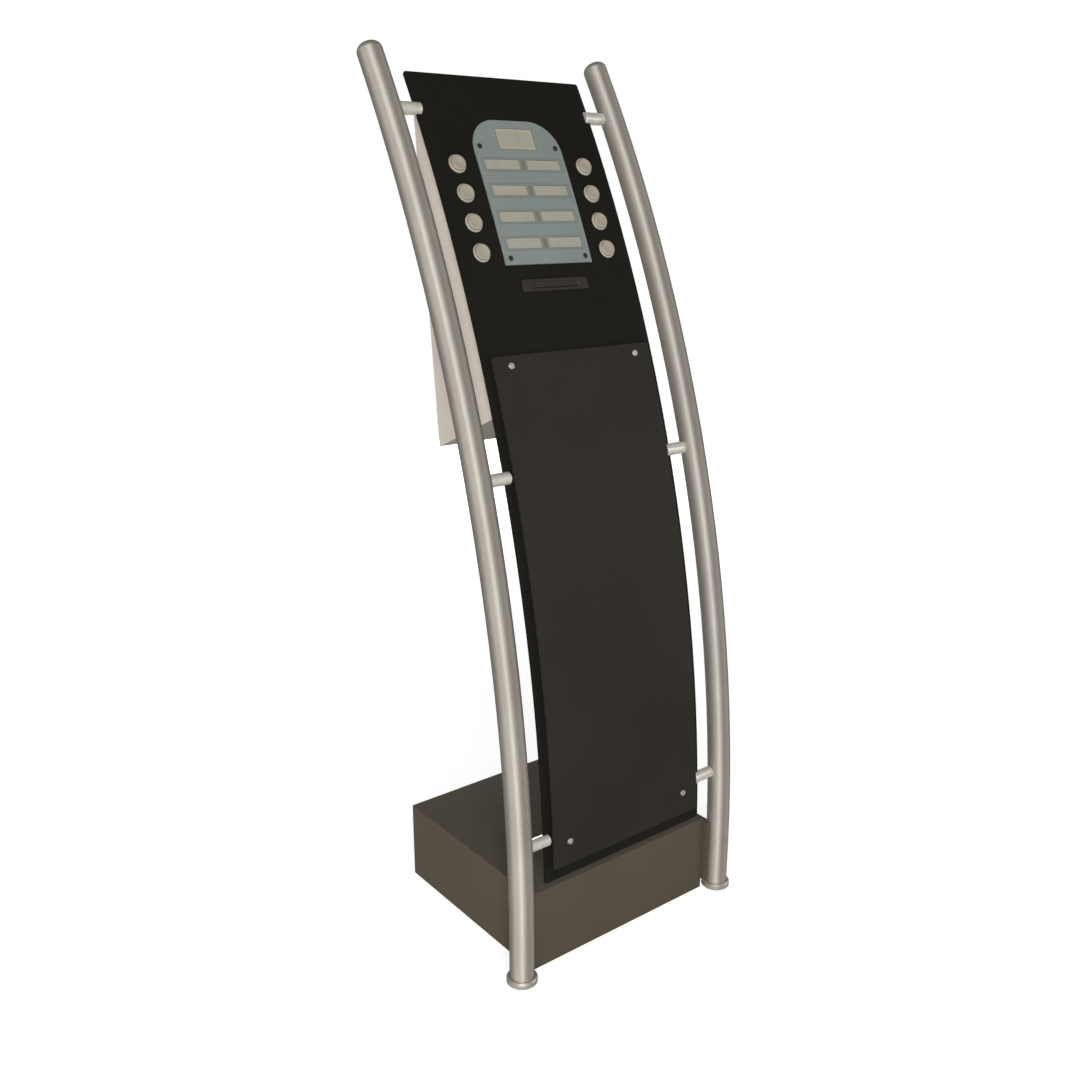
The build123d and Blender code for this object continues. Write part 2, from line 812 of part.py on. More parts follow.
# Ticket outlet: a moulded bezel with a flared mouth and a spigot through the panel
with BuildPart() as ticket_bezel:
    with BuildSketch(slot_plane):
        RectangleRounded(bezel_width, bezel_height, bezel_corner)
    frame_plate = extrude(amount=bezel_proud)
    front_rim = frame_plate.faces().sort_by(Axis(slot_plane.origin, slot_plane.z_dir))[-1].edges()
    fillet(front_rim, bezel_edge)
    with BuildSketch(slot_plane):
        Rectangle(spigot_width, spigot_height)
    extrude(amount=-panel_thickness)
    with BuildSketch(slot_plane.offset(bezel_proud)):
        Rectangle(mouth_width, mouth_height)
    extrude(amount=-(bezel_proud + panel_thickness), mode=Mode.SUBTRACT)
    mouth_rim = ticket_bezel.faces().sort_by(Axis(slot_plane.origin, slot_plane.z_dir))[-1].inner_wires()[0]
    chamfer(mouth_rim.edges(), mouth_wall)
save(ticket_bezel.part, "ticket_bezel")

# Rear housing: a folded wedge of sheet metal behind the upper panel
low_front = arc_point(panel_back_radius, housing_low)
low_rear = (
    low_front[0] + housing_low_depth * cos(radians(housing_low_tilt)),
    low_front[1] - housing_low_depth * sin(radians(housing_low_tilt)),
)
high_angle = housing_high / panel_radius
high_front = arc_point(panel_back_radius, housing_high)
high_rear = (
    high_front[0] + housing_high_depth * cos(high_angle),
    high_front[1] - housing_high_depth * sin(high_angle),
)
rear_length = hypot(high_rear[0] - low_rear[0], high_rear[1] - low_rear[1])
rear_lean = atan2(high_rear[0] - low_rear[0], high_rear[1] - low_rear[1])
rear_plane = Plane(
    origin=(0, (low_rear[0] + high_rear[0]) / 2, (low_rear[1] + high_rear[1]) / 2),
    x_dir=(-1, 0, 0),
    z_dir=(0, cos(rear_lean), -sin(rear_lean)),
)
low_plane = Plane(
    origin=(0, *low_front),
    x_dir=(1, 0, 0),
    z_dir=(0, -sin(radians(housing_low_tilt)), -cos(radians(housing_low_tilt))),
)
high_plane = Plane(origin=(0, *high_front), x_dir=(1, 0, 0), z_dir=(0, sin(high_angle), cos(high_angle)))
housing_inner = housing_half - housing_sheet
inlet_point = (inlet_x, -inlet_depth)


def housing_outline():
    """Side view of the wedge between the panel's back and the rear door."""
    start = 180 - degrees(housing_high / panel_radius)
    sweep_angle = degrees((housing_high - housing_low) / panel_radius)
    with BuildSketch() as outline:
        with BuildLine():
            front = CenterArc((bend_y, bend_z), panel_back_radius, start, sweep_angle)
            Line(front @ 1, low_rear)
            Line(low_rear, high_rear)
            Line(high_rear, front @ 0)
        make_face()
    return outline.sketch


with BuildPart() as housing_void:
    with BuildSketch(Plane.YZ):
        add(housing_outline())
    extrude(amount=housing_inner, both=True)
    split(bisect_by=low_plane.offset(-housing_sheet), keep=Keep.BOTTOM)
    split(bisect_by=high_plane.offset(-housing_sheet), keep=Keep.BOTTOM)

with BuildPart() as housing_shell:
    with BuildSketch(Plane.YZ):
        add(housing_outline())
    extrude(amount=housing_half, both=True)
    add(housing_void.part, mode=Mode.SUBTRACT)
    # Flanges along the front edges, which are screwed to the panel
    for side in sides:
        with BuildSketch(Plane.YZ.offset(side * housing_inner)):
            add(bent_outline(panel_back_radius, housing_sheet, housing_low, housing_high))
        extrude(amount=side * (housing_sheet + housing_flange))
    # Lip round the rear opening, which the door closes on
    lip_height = rear_length - 2 * housing_sheet
    with BuildSketch(rear_plane.offset(-housing_sheet)):
        Rectangle(housing_width - housing_sheet, lip_height)
        Rectangle(housing_width - 2 * housing_lip, lip_height - 2 * housing_lip, mode=Mode.SUBTRACT)
    extrude(amount=housing_sheet)
    with Locations(*[plane.offset(-panel_thickness) for plane in housing_screw_planes]):
        Cylinder(housing_screw_radius + seat, cutter_reach * housing_sheet, mode=Mode.SUBTRACT)
    with BuildSketch(low_plane):
        with Locations(inlet_point):
            Rectangle(inlet_width + 2 * slip, inlet_height + 2 * slip)
    extrude(amount=-2 * housing_sheet, mode=Mode.SUBTRACT)
save(housing_shell.part, "housing_shell")

with BuildPart() as housing_screws:
    for plane in housing_screw_planes:
        head_plane = plane.offset(-panel_thickness - housing_sheet - running)
        with BuildSketch(head_plane):
            Circle(housing_screw_head_radius)
        extrude(amount=-housing_screw_head_height)
        with BuildSketch(head_plane):
            Circle(housing_screw_radius)
        extrude(amount=housing_sheet + housing_screw_bite)
save(housing_screws.part, "housing_screws")

# Rear door on two butt hinges, with a cam lock
door_width = housing_width - 2 * door_gap
door_height = rear_length - 2 * door_gap
return_width = housing_width - 2 * door_return_inset
return_height = rear_length - 2 * housing_sheet - 2 * door_return_inset
door_outer = door_gap + door_sheet
hinge_x = -housing_half - hinge_leaf / 2
hinge_z = door_outer + hinge_knuckle_radius
hinge_points = [(hinge_x, -hinge_spread / 2), (hinge_x, hinge_spread / 2)]
lock_point = (housing_half - lock_inset, 0)

with BuildPart() as rear_door:
    with BuildSketch(rear_plane.offset(door_gap)):
        Rectangle(door_width, door_height)
    extrude(amount=door_sheet)
    with BuildSketch(rear_plane.offset(door_gap)):
        Rectangle(return_width, return_height)
        Rectangle(return_width - 2 * door_sheet, return_height - 2 * door_sheet, mode=Mode.SUBTRACT)
    extrude(amount=-door_return_depth)
    with BuildSketch(rear_plane):
        with Locations(lock_point):
            Circle(lock_barrel_radius + seat)
    extrude(amount=2 * door_outer, mode=Mode.SUBTRACT)
save(rear_door.part, "rear_door")

knuckle_length = hinge_length / hinge_knuckles
knuckle_starts = (-hinge_length / 2, knuckle_length / 2)


def hinge_axis_plane(point, along):
    """Plane across a hinge's axis: x along the door's width, y into the housing."""
    origin = rear_plane.from_local_coords(Vector(point[0], point[1] + along, hinge_z))
    return Plane(origin=origin, x_dir=rear_plane.x_dir, z_dir=rear_plane.y_dir)


with BuildPart() as hinge_leaves_fixed:
    for point in hinge_points:
        for start in knuckle_starts:
            with BuildSketch(hinge_axis_plane(point, start)):
                Circle(hinge_knuckle_radius)
                with Locations((0, hinge_leaf_width / 2)):
                    Rectangle(hinge_leaf, hinge_leaf_width)
                Circle(hinge_pin_radius + running, mode=Mode.SUBTRACT)
            extrude(amount=knuckle_length - slip)
        with BuildSketch(hinge_axis_plane(point, -hinge_length / 2)):
            with Locations((0, (hinge_z + hinge_leaf_width) / 2)):
                Rectangle(hinge_leaf, hinge_leaf_width - hinge_z)
        extrude(amount=hinge_length - slip)
save(hinge_leaves_fixed.part, "hinge_leaves_fixed")

with BuildPart() as hinge_leaves_door:
    leaf_middle = hinge_knuckle_radius - hinge_leaf / 2
    for point in hinge_points:
        with BuildSketch(hinge_axis_plane(point, -knuckle_length / 2)):
            Circle(hinge_knuckle_radius)
            with Locations((hinge_leaf_width / 2, leaf_middle)):
                Rectangle(hinge_leaf_width, hinge_leaf)
            Circle(hinge_pin_radius + running, mode=Mode.SUBTRACT)
        extrude(amount=knuckle_length - slip)
        leaf_start = hinge_knuckle_radius + 2 * slip
        with BuildSketch(hinge_axis_plane(point, -hinge_length / 2)):
            with Locations(((leaf_start + hinge_leaf_width) / 2, leaf_middle)):
                Rectangle(hinge_leaf_width - leaf_start, hinge_leaf)
        extrude(amount=hinge_length - slip)
save(hinge_leaves_door.part, "hinge_leaves_door")

with BuildPart() as hinge_pins:
    for point in hinge_points:
        with BuildSketch(hinge_axis_plane(point, -hinge_length / 2)):
            Circle(hinge_pin_radius)
        extrude(amount=hinge_length - slip)
save(hinge_pins.part, "hinge_pins")

lock_face = door_outer + lock_flange_height
with BuildPart() as lock_body:
    with BuildSketch(rear_plane.offset(door_outer)):
        with Locations(lock_point):
            Circle(lock_flange_radius)
    flange = extrude(amount=lock_flange_height)
    fillet(flange.edges().group_by(Axis(rear_plane.origin, rear_plane.z_dir))[-1], lock_flange_edge)
    with BuildSketch(rear_plane.offset(door_outer)):
        with Locations(lock_point):
            Circle(lock_barrel_radius)
    extrude(amount=-lock_barrel_length)
    with BuildSketch(rear_plane.offset(lock_face)):
        with Locations(lock_point):
            Circle(lock_plug_radius + running)
    extrude(amount=-2 * lock_barrel_length, mode=Mode.SUBTRACT)
save(lock_body.part, "lock_body")

with BuildPart() as lock_nut:
    with BuildSketch(rear_plane.offset(door_gap)):
        with Locations(lock_point):
            RegularPolygon(lock_nut_radius, 6)
            Circle(lock_barrel_radius + running, mode=Mode.SUBTRACT)
    extrude(amount=-lock_nut_height)
save(lock_nut.part, "lock_nut")

cam_level = door_outer - lock_barrel_length - slip
with BuildPart() as lock_plug:
    with BuildSketch(rear_plane.offset(lock_face)):
        with Locations(lock_point):
            Circle(lock_plug_radius)
    extrude(amount=cam_level - lock_face)
    with BuildSketch(rear_plane.offset(lock_face)):
        with Locations(lock_point):
            Rectangle(key_slot_width, key_slot_length)
    extrude(amount=-key_slot_depth, mode=Mode.SUBTRACT)
save(lock_plug.part, "lock_plug")

with BuildPart() as lock_cam:
    with BuildSketch(rear_plane.offset(cam_level)):
        with Locations(lock_point):
            Circle(lock_plug_radius)
            with Locations((0, lock_cam_length / 2)):
                Rectangle(lock_cam_width, lock_cam_length)
    extrude(amount=-lock_cam_thickness)
save(lock_cam.part, "lock_cam")

# Ticket printer behind the outlet: side view coordinates run into the kiosk and up the panel
printer_half = printer_width / 2
printer_inner = printer_half - printer_plate
platen_point = (platen_depth, -platen_radius - nip_gap)
centre_distance_1 = gear_module * (platen_teeth + idler_teeth) / 2
centre_distance_2 = gear_module * (idler_teeth + pinion_teeth) / 2


def polar(start, distance, direction):
    """Point at a distance and a direction in degrees from another."""
    return start[0] + distance * cos(radians(direction)), start[1] + distance * sin(radians(direction))


idler_point = polar(platen_point, centre_distance_1, idler_direction)
pinion_point = polar(idler_point, centre_distance_2, pinion_direction)


def printer_plane(x):
    """Side view of the printer, at a distance to the right of its middle."""
    return side_plane(slot_station, x)


def panel_back_depth(level):
    """Depth of the panel's back in the printer's side view, at a level above or below the outlet."""
    y, z = arc_point(panel_back_radius, slot_station + level)
    return printer_plane(0).to_local_coords(Vector(0, y, z)).X


def box_sketch(low, high):
    """Rectangle between two corners, for a sketch."""
    with Locations(((low[0] + high[0]) / 2, (low[1] + high[1]) / 2)):
        Rectangle(high[0] - low[0], high[1] - low[1])


printer_front = panel_back_depth(-printer_bottom) + slip
with BuildPart() as printer_frame:
    for side in sides:
        with BuildSketch(printer_plane(side * printer_inner)):
            box_sketch((printer_front, -printer_bottom), (printer_depth, printer_top))
            with Locations(platen_point):
                Circle(platen_shaft_radius + running, mode=Mode.SUBTRACT)
            if side > 0:
                with Locations(pinion_point):
                    Circle(motor_boss_radius, mode=Mode.SUBTRACT)
        extrude(amount=side * printer_plate)
        # Flange that is fixed to the panel's back
        with BuildSketch(printer_plane(side * printer_inner)):
            box_sketch((printer_front, -printer_bottom), (printer_front + printer_plate, printer_top))
        extrude(amount=side * (printer_plate + printer_flange))
    for level in (-printer_bottom, printer_top - printer_plate):
        with BuildSketch(printer_plane(0)):
            box_sketch((cutter_start, level), (printer_depth, level + printer_plate))
        extrude(amount=printer_half, both=True)
    with BuildSketch(printer_plane(printer_inner)):
        with Locations(idler_point):
            Circle(idler_pin_radius)
    extrude(amount=printer_plate + gear_width + 3 * slip)
save(printer_frame.part, "printer_frame")


def gear_outline(teeth, tooth_angle):
    """Involute gear about the sketch's origin, with a tooth centred at tooth_angle in radians."""
    pitch_radius = gear_module * teeth / 2
    base_radius = pitch_radius * cos(pressure_angle)
    tip_radius = pitch_radius + gear_module
    root_radius = pitch_radius - gear_dedendum * gear_module
    half_tooth = pi / (2 * teeth) - gear_backlash / (2 * pitch_radius)
    involute_at_pitch = tan(pressure_angle) - pressure_angle

    def half_angle(radius):
        if radius <= base_radius:
            return half_tooth + involute_at_pitch
        roll = acos(base_radius / radius)
        return half_tooth + involute_at_pitch - (tan(roll) - roll)

    def tooth_point(radius, angle):
        return radius * cos(angle), radius * sin(angle)

    with BuildSketch() as outline:
        with BuildLine():
            for tooth in range(teeth):
                middle = tooth_angle + 2 * pi * tooth / teeth
                following = middle + 2 * pi / teeth
                radii = (root_radius, pitch_radius, tip_radius)
                lower = [tooth_point(radius, middle - half_angle(radius)) for radius in radii]
                upper = [tooth_point(radius, middle + half_angle(radius)) for radius in reversed(radii)]
                next_root = tooth_point(root_radius, following - half_angle(root_radius))
                ThreePointArc(*lower)
                Line(lower[-1], upper[0])
                ThreePointArc(*upper)
                Line(upper[-1], next_root)
        make_face()
    return outline.sketch


# Each gear's tooth meets a gap of the next on the line between their axes
idler_line = radians(idler_direction)
pinion_line = radians(pinion_direction)
idler_tooth = idler_line + pi + pi / idler_teeth
idler_pitch = 2 * pi / idler_teeth
idler_offset = (idler_tooth - pinion_line) % idler_pitch
pinion_tooth = pinion_line + pi - idler_offset * idler_teeth / pinion_teeth + pi / pinion_teeth
gear_start = printer_half + 2 * slip


def moved(plane, point):
    """The same plane with its origin at a point of its own."""
    return Plane(origin=plane.from_local_coords(Vector(*point, 0)), x_dir=plane.x_dir, z_dir=plane.z_dir)


with BuildPart() as platen_roller:
    roller_half = printer_inner - platen_end_gap
    with BuildSketch(printer_plane(0)):
        with Locations(platen_point):
            Circle(platen_radius)
    extrude(amount=roller_half, both=True)
    with BuildSketch(printer_plane(-printer_half - slip)):
        with Locations(platen_point):
            Circle(platen_shaft_radius)
    extrude(amount=printer_width + 4 * slip + gear_width)
save(platen_roller.part, "platen_roller")

with BuildPart() as platen_gear:
    with BuildSketch(moved(printer_plane(gear_start), platen_point)):
        add(gear_outline(platen_teeth, idler_line))
        Circle(platen_shaft_radius + running, mode=Mode.SUBTRACT)
    extrude(amount=gear_width)
save(platen_gear.part, "platen_gear")

with BuildPart() as idler_gear:
    with BuildSketch(moved(printer_plane(gear_start), idler_point)):
        add(gear_outline(idler_teeth, idler_tooth))
        Circle(idler_pin_radius + running, mode=Mode.SUBTRACT)
    extrude(amount=gear_width)
save(idler_gear.part, "idler_gear")

motor_start = printer_inner - motor_length
with BuildPart() as motor_pinion:
    with BuildSketch(moved(printer_plane(gear_start), pinion_point)):
        add(gear_outline(pinion_teeth, pinion_tooth))
    extrude(amount=gear_width)
    with BuildSketch(printer_plane(motor_start + 2 * slip)):
        with Locations(pinion_point):
            Circle(motor_shaft_radius)
    extrude(amount=gear_start - motor_start)
save(motor_pinion.part, "motor_pinion")

with BuildPart() as stepper_motor:
    with BuildSketch(printer_plane(motor_start)):
        with Locations(pinion_point):
            Circle(motor_radius)
    can = extrude(amount=motor_length)
    fillet(can.edges().group_by(Axis.X)[0], motor_edge)
    with BuildSketch(printer_plane(printer_inner)):
        with Locations(pinion_point):
            Circle(motor_boss_radius - seat)
    extrude(amount=printer_plate)
    with BuildSketch(printer_plane(motor_start + slip)):
        with Locations(pinion_point):
            Circle(motor_shaft_radius + running)
    extrude(amount=motor_length + printer_plate, mode=Mode.SUBTRACT)
save(stepper_motor.part, "stepper_motor")

with BuildPart() as print_head:
    head_start = platen_depth - head_depth / 2
    fin_pitch = (head_depth - head_fin) / (head_fin_count - 1)
    fin_top = printer_top - printer_plate
    with BuildSketch(printer_plane(0)):
        box_sketch((head_start, nip_gap), (head_start + head_depth, nip_gap + head_height))
        for fin in range(head_fin_count):
            fin_start = head_start + fin * fin_pitch
            box_sketch((fin_start, nip_gap + head_height), (fin_start + head_fin, fin_top))
    extrude(amount=roller_half, both=True)
save(print_head.part, "print_head")

with BuildPart() as cutter_unit:
    with BuildSketch(slot_plane.offset(-cutter_start)):
        Rectangle(2 * printer_inner - 2 * seat, cutter_height)
        Rectangle(mouth_width, cutter_slot, mode=Mode.SUBTRACT)
    extrude(amount=-cutter_depth)
save(cutter_unit.part, "cutter_unit")

with BuildPart() as paper_chute:
    with BuildSketch(slot_plane.offset(-panel_thickness - seat)):
        Rectangle(spigot_width, spigot_height)
        Rectangle(mouth_width, mouth_height, mode=Mode.SUBTRACT)
    with BuildSketch(slot_plane.offset(-cutter_start + seat)):
        Rectangle(spigot_width, cutter_slot + 2 * chute_wall)
        Rectangle(mouth_width, cutter_slot, mode=Mode.SUBTRACT)
    loft()
save(paper_chute.part, "paper_chute")

# Paper roll on a spindle, in a bracket below the printer
roll_point = (roll_depth, -roll_drop)
roll_arm_inner = roll_width / 2 + roll_arm_gap
arm_low = -roll_drop - roll_arm_height / 2
arm_high = -roll_drop + roll_arm_height / 2
arm_front = panel_back_depth(arm_low) + slip
arm_rear = roll_depth + 2 * journal_radius

with BuildPart() as roll_bracket:
    for side in sides:
        with BuildSketch(printer_plane(side * roll_arm_inner)):
            box_sketch((arm_front, arm_low), (arm_rear, arm_high))
            with Locations(roll_point):
                Circle(journal_radius + running, mode=Mode.SUBTRACT)
            with Locations((roll_depth, arm_high)):
                Rectangle(2 * (journal_radius + running), roll_arm_height, mode=Mode.SUBTRACT)
        extrude(amount=side * roll_arm)
        with BuildSketch(printer_plane(side * roll_arm_inner)):
            box_sketch((arm_front, arm_low), (arm_front + roll_arm, arm_high))
        extrude(amount=side * (roll_arm + printer_flange))
save(roll_bracket.part, "roll_bracket")

with BuildPart() as paper_roll:
    with BuildSketch(printer_plane(0)):
        with Locations(roll_point):
            Circle(roll_radius)
            Circle(roll_core_radius, mode=Mode.SUBTRACT)
    extrude(amount=roll_width / 2, both=True)
save(paper_roll.part, "paper_roll")

with BuildPart() as roll_spindle:
    with BuildSketch(printer_plane(0)):
        with Locations(roll_point):
            Circle(roll_core_radius - running)
    extrude(amount=roll_arm_inner - slip, both=True)
    with BuildSketch(printer_plane(0)):
        with Locations(roll_point):
            Circle(journal_radius)
    extrude(amount=roll_arm_inner + 2 * roll_arm, both=True)
save(roll_spindle.part, "roll_spindle")

with BuildPart() as paper_web:
    web_inner = roll_depth + roll_radius + slip
    web_outer = web_inner + paper_thickness
    bend_centre = (web_inner - paper_bend, nip_gap / 2 - paper_thickness / 2 - paper_bend)
    web_end = platen_depth + platen_radius
    with BuildSketch(printer_plane(0)):
        with BuildLine():
            outer = CenterArc(bend_centre, paper_bend + paper_thickness, 0, 90)
            inner = CenterArc(bend_centre, paper_bend, 0, 90)
            Line(outer @ 0, (web_outer, -roll_drop))
            Line((web_outer, -roll_drop), (web_inner, -roll_drop))
            Line((web_inner, -roll_drop), inner @ 0)
            Line(outer @ 1, (web_end, (outer @ 1).Y))
            Line((web_end, (outer @ 1).Y), (web_end, (inner @ 1).Y))
            Line((web_end, (inner @ 1).Y), inner @ 1)
        make_face()
    extrude(amount=roll_width / 2, both=True)
save(paper_web.part, "paper_web")

# Electronics: the control board behind the information plate, and the power supply with its inlet
board_plane = panel_plane(board_station)
board_back = panel_thickness + board_standoff
board_hole_x = board_width / 2 - board_hole_inset
board_hole_y = board_height / 2 - board_hole_inset

with BuildPart() as board_standoffs:
    with BuildSketch(board_plane.offset(-board_back)):
        with GridLocations(2 * board_hole_x, 2 * board_hole_y, 2, 2):
            Circle(board_standoff_radius)
    extrude(amount=board_standoff - 2 * slip)
save(board_standoffs.part, "board_standoffs")

with BuildPart() as control_board:
    with BuildSketch(board_plane.offset(-board_back)):
        Rectangle(board_width, board_height)
    extrude(amount=-board_thickness)
    component_level = board_plane.offset(-board_back - board_thickness)
    with BuildSketch(component_level):
        with Locations((chip_x, 0)):
            Rectangle(chip_size, chip_size)
    extrude(amount=-chip_height)
    with BuildSketch(component_level):
        with Locations((0, -connector_drop)):
            with GridLocations(connector_pitch, 0, connector_count, 1):
                Rectangle(connector_width, connector_depth)
    extrude(amount=-connector_height)
    with BuildSketch(component_level):
        with Locations((capacitor_x, capacitor_rise)):
            with GridLocations(capacitor_pitch, 0, capacitor_count, 1):
                Circle(capacitor_radius)
    extrude(amount=-capacitor_height)
save(control_board.part, "control_board")

with BuildPart() as power_supply:
    supply_low = -supply_drop - supply_height
    with BuildSketch(printer_plane(-housing_inner)):
        box_sketch((supply_start, supply_low), (supply_start + supply_depth, -supply_drop))
    case = extrude(amount=supply_width)
    chamfer(case.edges().group_by(Axis.X)[-1], supply_edge)
    supply_middle = (supply_start + supply_depth / 2, -supply_drop - supply_height / 2)
    with BuildSketch(printer_plane(supply_width - housing_inner)):
        with Locations(supply_middle):
            with GridLocations(0, supply_vent_pitch, 1, supply_vent_count):
                SlotOverall(supply_vent_length, supply_vent_width)
    extrude(amount=-supply_vent_depth, mode=Mode.SUBTRACT)
    block_top = -supply_drop - terminal_block_drop
    block_rear = supply_start + supply_depth + terminal_block_depth
    with BuildSketch(printer_plane((supply_width - terminal_block_width) / 2 - housing_inner)):
        box_sketch((supply_start + supply_depth, block_top - terminal_block_height), (block_rear, block_top))
    extrude(amount=terminal_block_width)
save(power_supply.part, "power_supply")

with BuildPart() as power_inlet:
    with BuildSketch(low_plane):
        with Locations(inlet_point):
            RectangleRounded(inlet_flange_width, inlet_flange_height, inlet_flange)
    extrude(amount=inlet_flange)
    with BuildSketch(low_plane):
        with Locations(inlet_point):
            Rectangle(inlet_width, inlet_height)
    extrude(amount=-inlet_body)
    with BuildSketch(low_plane.offset(inlet_flange)):
        with Locations(inlet_point):
            Rectangle(inlet_width - 2 * inlet_wall, inlet_height - 2 * inlet_wall)
    extrude(amount=-inlet_recess, mode=Mode.SUBTRACT)
    with BuildSketch(low_plane.offset(inlet_flange - inlet_recess)):
        with Locations(inlet_point):
            with Locations((0, inlet_pin_rise)):
                Rectangle(inlet_pin_width, inlet_pin_height)
            with Locations((0, -inlet_pin_rise)):
                with GridLocations(inlet_pin_spread, 0, 2, 1):
                    Rectangle(inlet_pin_width, inlet_pin_height)
    extrude(amount=inlet_recess - inlet_flange)
save(power_inlet.part, "power_inlet")
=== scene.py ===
import json
import math

import bmesh
import bpy
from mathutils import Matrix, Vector


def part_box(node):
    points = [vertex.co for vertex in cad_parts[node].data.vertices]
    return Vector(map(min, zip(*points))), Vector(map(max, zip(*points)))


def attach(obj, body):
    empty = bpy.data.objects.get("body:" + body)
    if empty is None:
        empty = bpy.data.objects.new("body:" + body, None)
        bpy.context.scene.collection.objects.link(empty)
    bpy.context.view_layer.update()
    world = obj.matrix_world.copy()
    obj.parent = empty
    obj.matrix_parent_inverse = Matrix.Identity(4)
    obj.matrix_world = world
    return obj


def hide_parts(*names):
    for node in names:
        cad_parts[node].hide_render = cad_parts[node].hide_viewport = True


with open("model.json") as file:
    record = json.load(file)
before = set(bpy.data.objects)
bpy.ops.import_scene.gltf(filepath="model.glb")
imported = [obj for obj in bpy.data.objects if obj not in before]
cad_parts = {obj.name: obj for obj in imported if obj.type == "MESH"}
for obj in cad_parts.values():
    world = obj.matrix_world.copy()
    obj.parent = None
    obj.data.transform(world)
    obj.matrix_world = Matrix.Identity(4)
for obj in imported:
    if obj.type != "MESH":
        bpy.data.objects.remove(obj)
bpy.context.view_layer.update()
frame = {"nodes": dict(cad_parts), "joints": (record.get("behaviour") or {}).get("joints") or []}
nodes = frame["nodes"]
scene = bpy.context.scene

# Sizes are in metres, in the frame of the model
MM = 0.001
sides = (-1, 1)
square = ((-1, -1), (1, -1), (1, 1), (-1, 1))

# The bend of rails and panel. Stations are distances along the panel's front
bend_y = 2386.6 * MM
bend_z = 83.0 * MM
rail_bend_radius = 2575.0 * MM
panel_radius = 2572.0 * MM

# Label plate; rises are measured from its lower edge
plate_station = 1041.5 * MM
plate_thickness = 2.0 * MM
card_thickness = 1.2 * MM
label_rise = 34.1 * MM
label_pitch = 43.3 * MM
label_size = (67.0 * MM, 17.0 * MM)
label_gap = 14.0 * MM
label_rows = 4
header_rise = 208.0 * MM
header_size = (71.0 * MM, 35.0 * MM)

# Screws: a head is its radius, height and rounding, and a shank its radius and length
plate_screw_x = 74.5 * MM
plate_screw_rises = (10.5 * MM, 194.0 * MM)
plate_screw_head = (4.2 * MM, 1.8 * MM, 0.9 * MM)
plate_screw_shank = (1.5 * MM, 6.0 * MM)
housing_screw_x = 156.0 * MM
housing_screw_stations = (880.0 * MM, 1080.0 * MM, 1280.0 * MM)
housing_screw_depth = 6.05 * MM  # behind the panel's front
housing_screw_head = (3.0 * MM, 2.4 * MM, 0.8 * MM)
housing_screw_shank = (1.5 * MM, 4.5 * MM)

# Hinge leaves, measured from the axis of the door's hinges
hinge_spread = 320.0 * MM
hinge_leaf = 1.6 * MM
hinge_screw_steps = (-1, 0, 1)
hinge_screw_pitch = 20.0 * MM
hinge_screw_head = (2.4 * MM, 0.8 * MM, 0.5 * MM)
hinge_screw_shank = (1.2 * MM, 1.0 * MM)
door_leaf_middle = 14.3 * MM
door_leaf_drop = 2.4 * MM
fixed_leaf_middle = 15.2 * MM

# Ticket mouth, with the soft lip that nearly closes it
slot_station = 1008.0 * MM
mouth_height = 9.0 * MM
lip_size = (89.0 * MM, 8.4 * MM)
lip_thickness = 1.0 * MM
lip_edge = 0.3 * MM
lip_front = 2.4 * MM  # before the panel's front

# Control board and power supply; depths are measured from the panel's front
board_rise = 108.5 * MM
board_depth = 16.0 * MM
board_thickness = 1.6 * MM
supply_depth = 115.0 * MM
terminal_centre = (132.0 * MM, -82.0 * MM)
terminal_height = 9.0 * MM
terminal_count = 4
terminal_pitch = 5.5 * MM
terminal_head = (2.0 * MM, 0.8 * MM, 0.4 * MM)
terminal_shank = (1.2 * MM, 1.0 * MM)


class Spot:
    """A place on a surface, with the directions to its right, up and outwards."""

    def __init__(self, origin, right, up):
        self.origin = Vector(origin)
        self.right = Vector(right)
        self.up = Vector(up)
        self.out = self.right.cross(self.up)

    def at(self, x, y, height=0.0):
        return self.origin + self.right * x + self.up * y + self.out * height

    def moved(self, x, y, height=0.0):
        return Spot(self.at(x, y, height), self.right, self.up)


def panel_spot(station, depth=0.0, facing=1):
    """Spot behind the middle line of the panel's front; it faces forward with 1 and backward with -1."""
    angle = station / panel_radius
    radius = panel_radius - depth
    origin = (0, bend_y - radius * math.cos(angle), bend_z + radius * math.sin(angle))
    return Spot(origin, (facing, 0, 0), (0, math.sin(angle), math.cos(angle)))


def node_centre(name):
    low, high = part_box(name)
    return (Vector(low) + Vector(high)) / 2


board_spot = panel_spot(plate_station + board_rise, board_depth + board_thickness, -1)
supply_spot = panel_spot(slot_station, supply_depth, -1)

# The curve between usual colour values and linear ones
curve_knee = 0.04045
curve_slope = 12.92
curve_offset = 0.055
curve_power = 2.4


def linear(red, green, blue):
    """Linear colour from the usual 0 to 255 values."""
    values = []
    for value in (red, green, blue):
        share = value / 255
        if share <= curve_knee:
            values.append(share / curve_slope)
        else:
            values.append(((share + curve_offset) / (1 + curve_offset)) ** curve_power)
    return tuple(values)


def shaded(colour, share, lift=0.0):
    """A share of a colour, lifted a little where lift is set."""
    return tuple(min(1.0, value * share + lift) for value in colour)


def add_node(tree, kind, **settings):
    made = tree.nodes.new(kind)
    for setting, value in settings.items():
        setattr(made, setting, value)
    return made


def map_range(tree, value, start, end, low, high):
    """A value mapped from one range to another."""
    made = add_node(tree, "ShaderNodeMapRange")
    for socket, limit in (("From Min", start), ("From Max", end), ("To Min", low), ("To Max", high)):
        made.inputs[socket].default_value = limit
    tree.links.new(value, made.inputs["Value"])
    return made.outputs["Result"]


# Most of a noise lies in this range
noise_low = 0.3
noise_high = 0.7
# What stands above a face changes colour from this height on, within the step's width
face_level = 0.05 * MM
face_step = 0.1 * MM
# Wear shows where the surface turns by more than this share
edge_turn = 0.12
edge_samples = 4


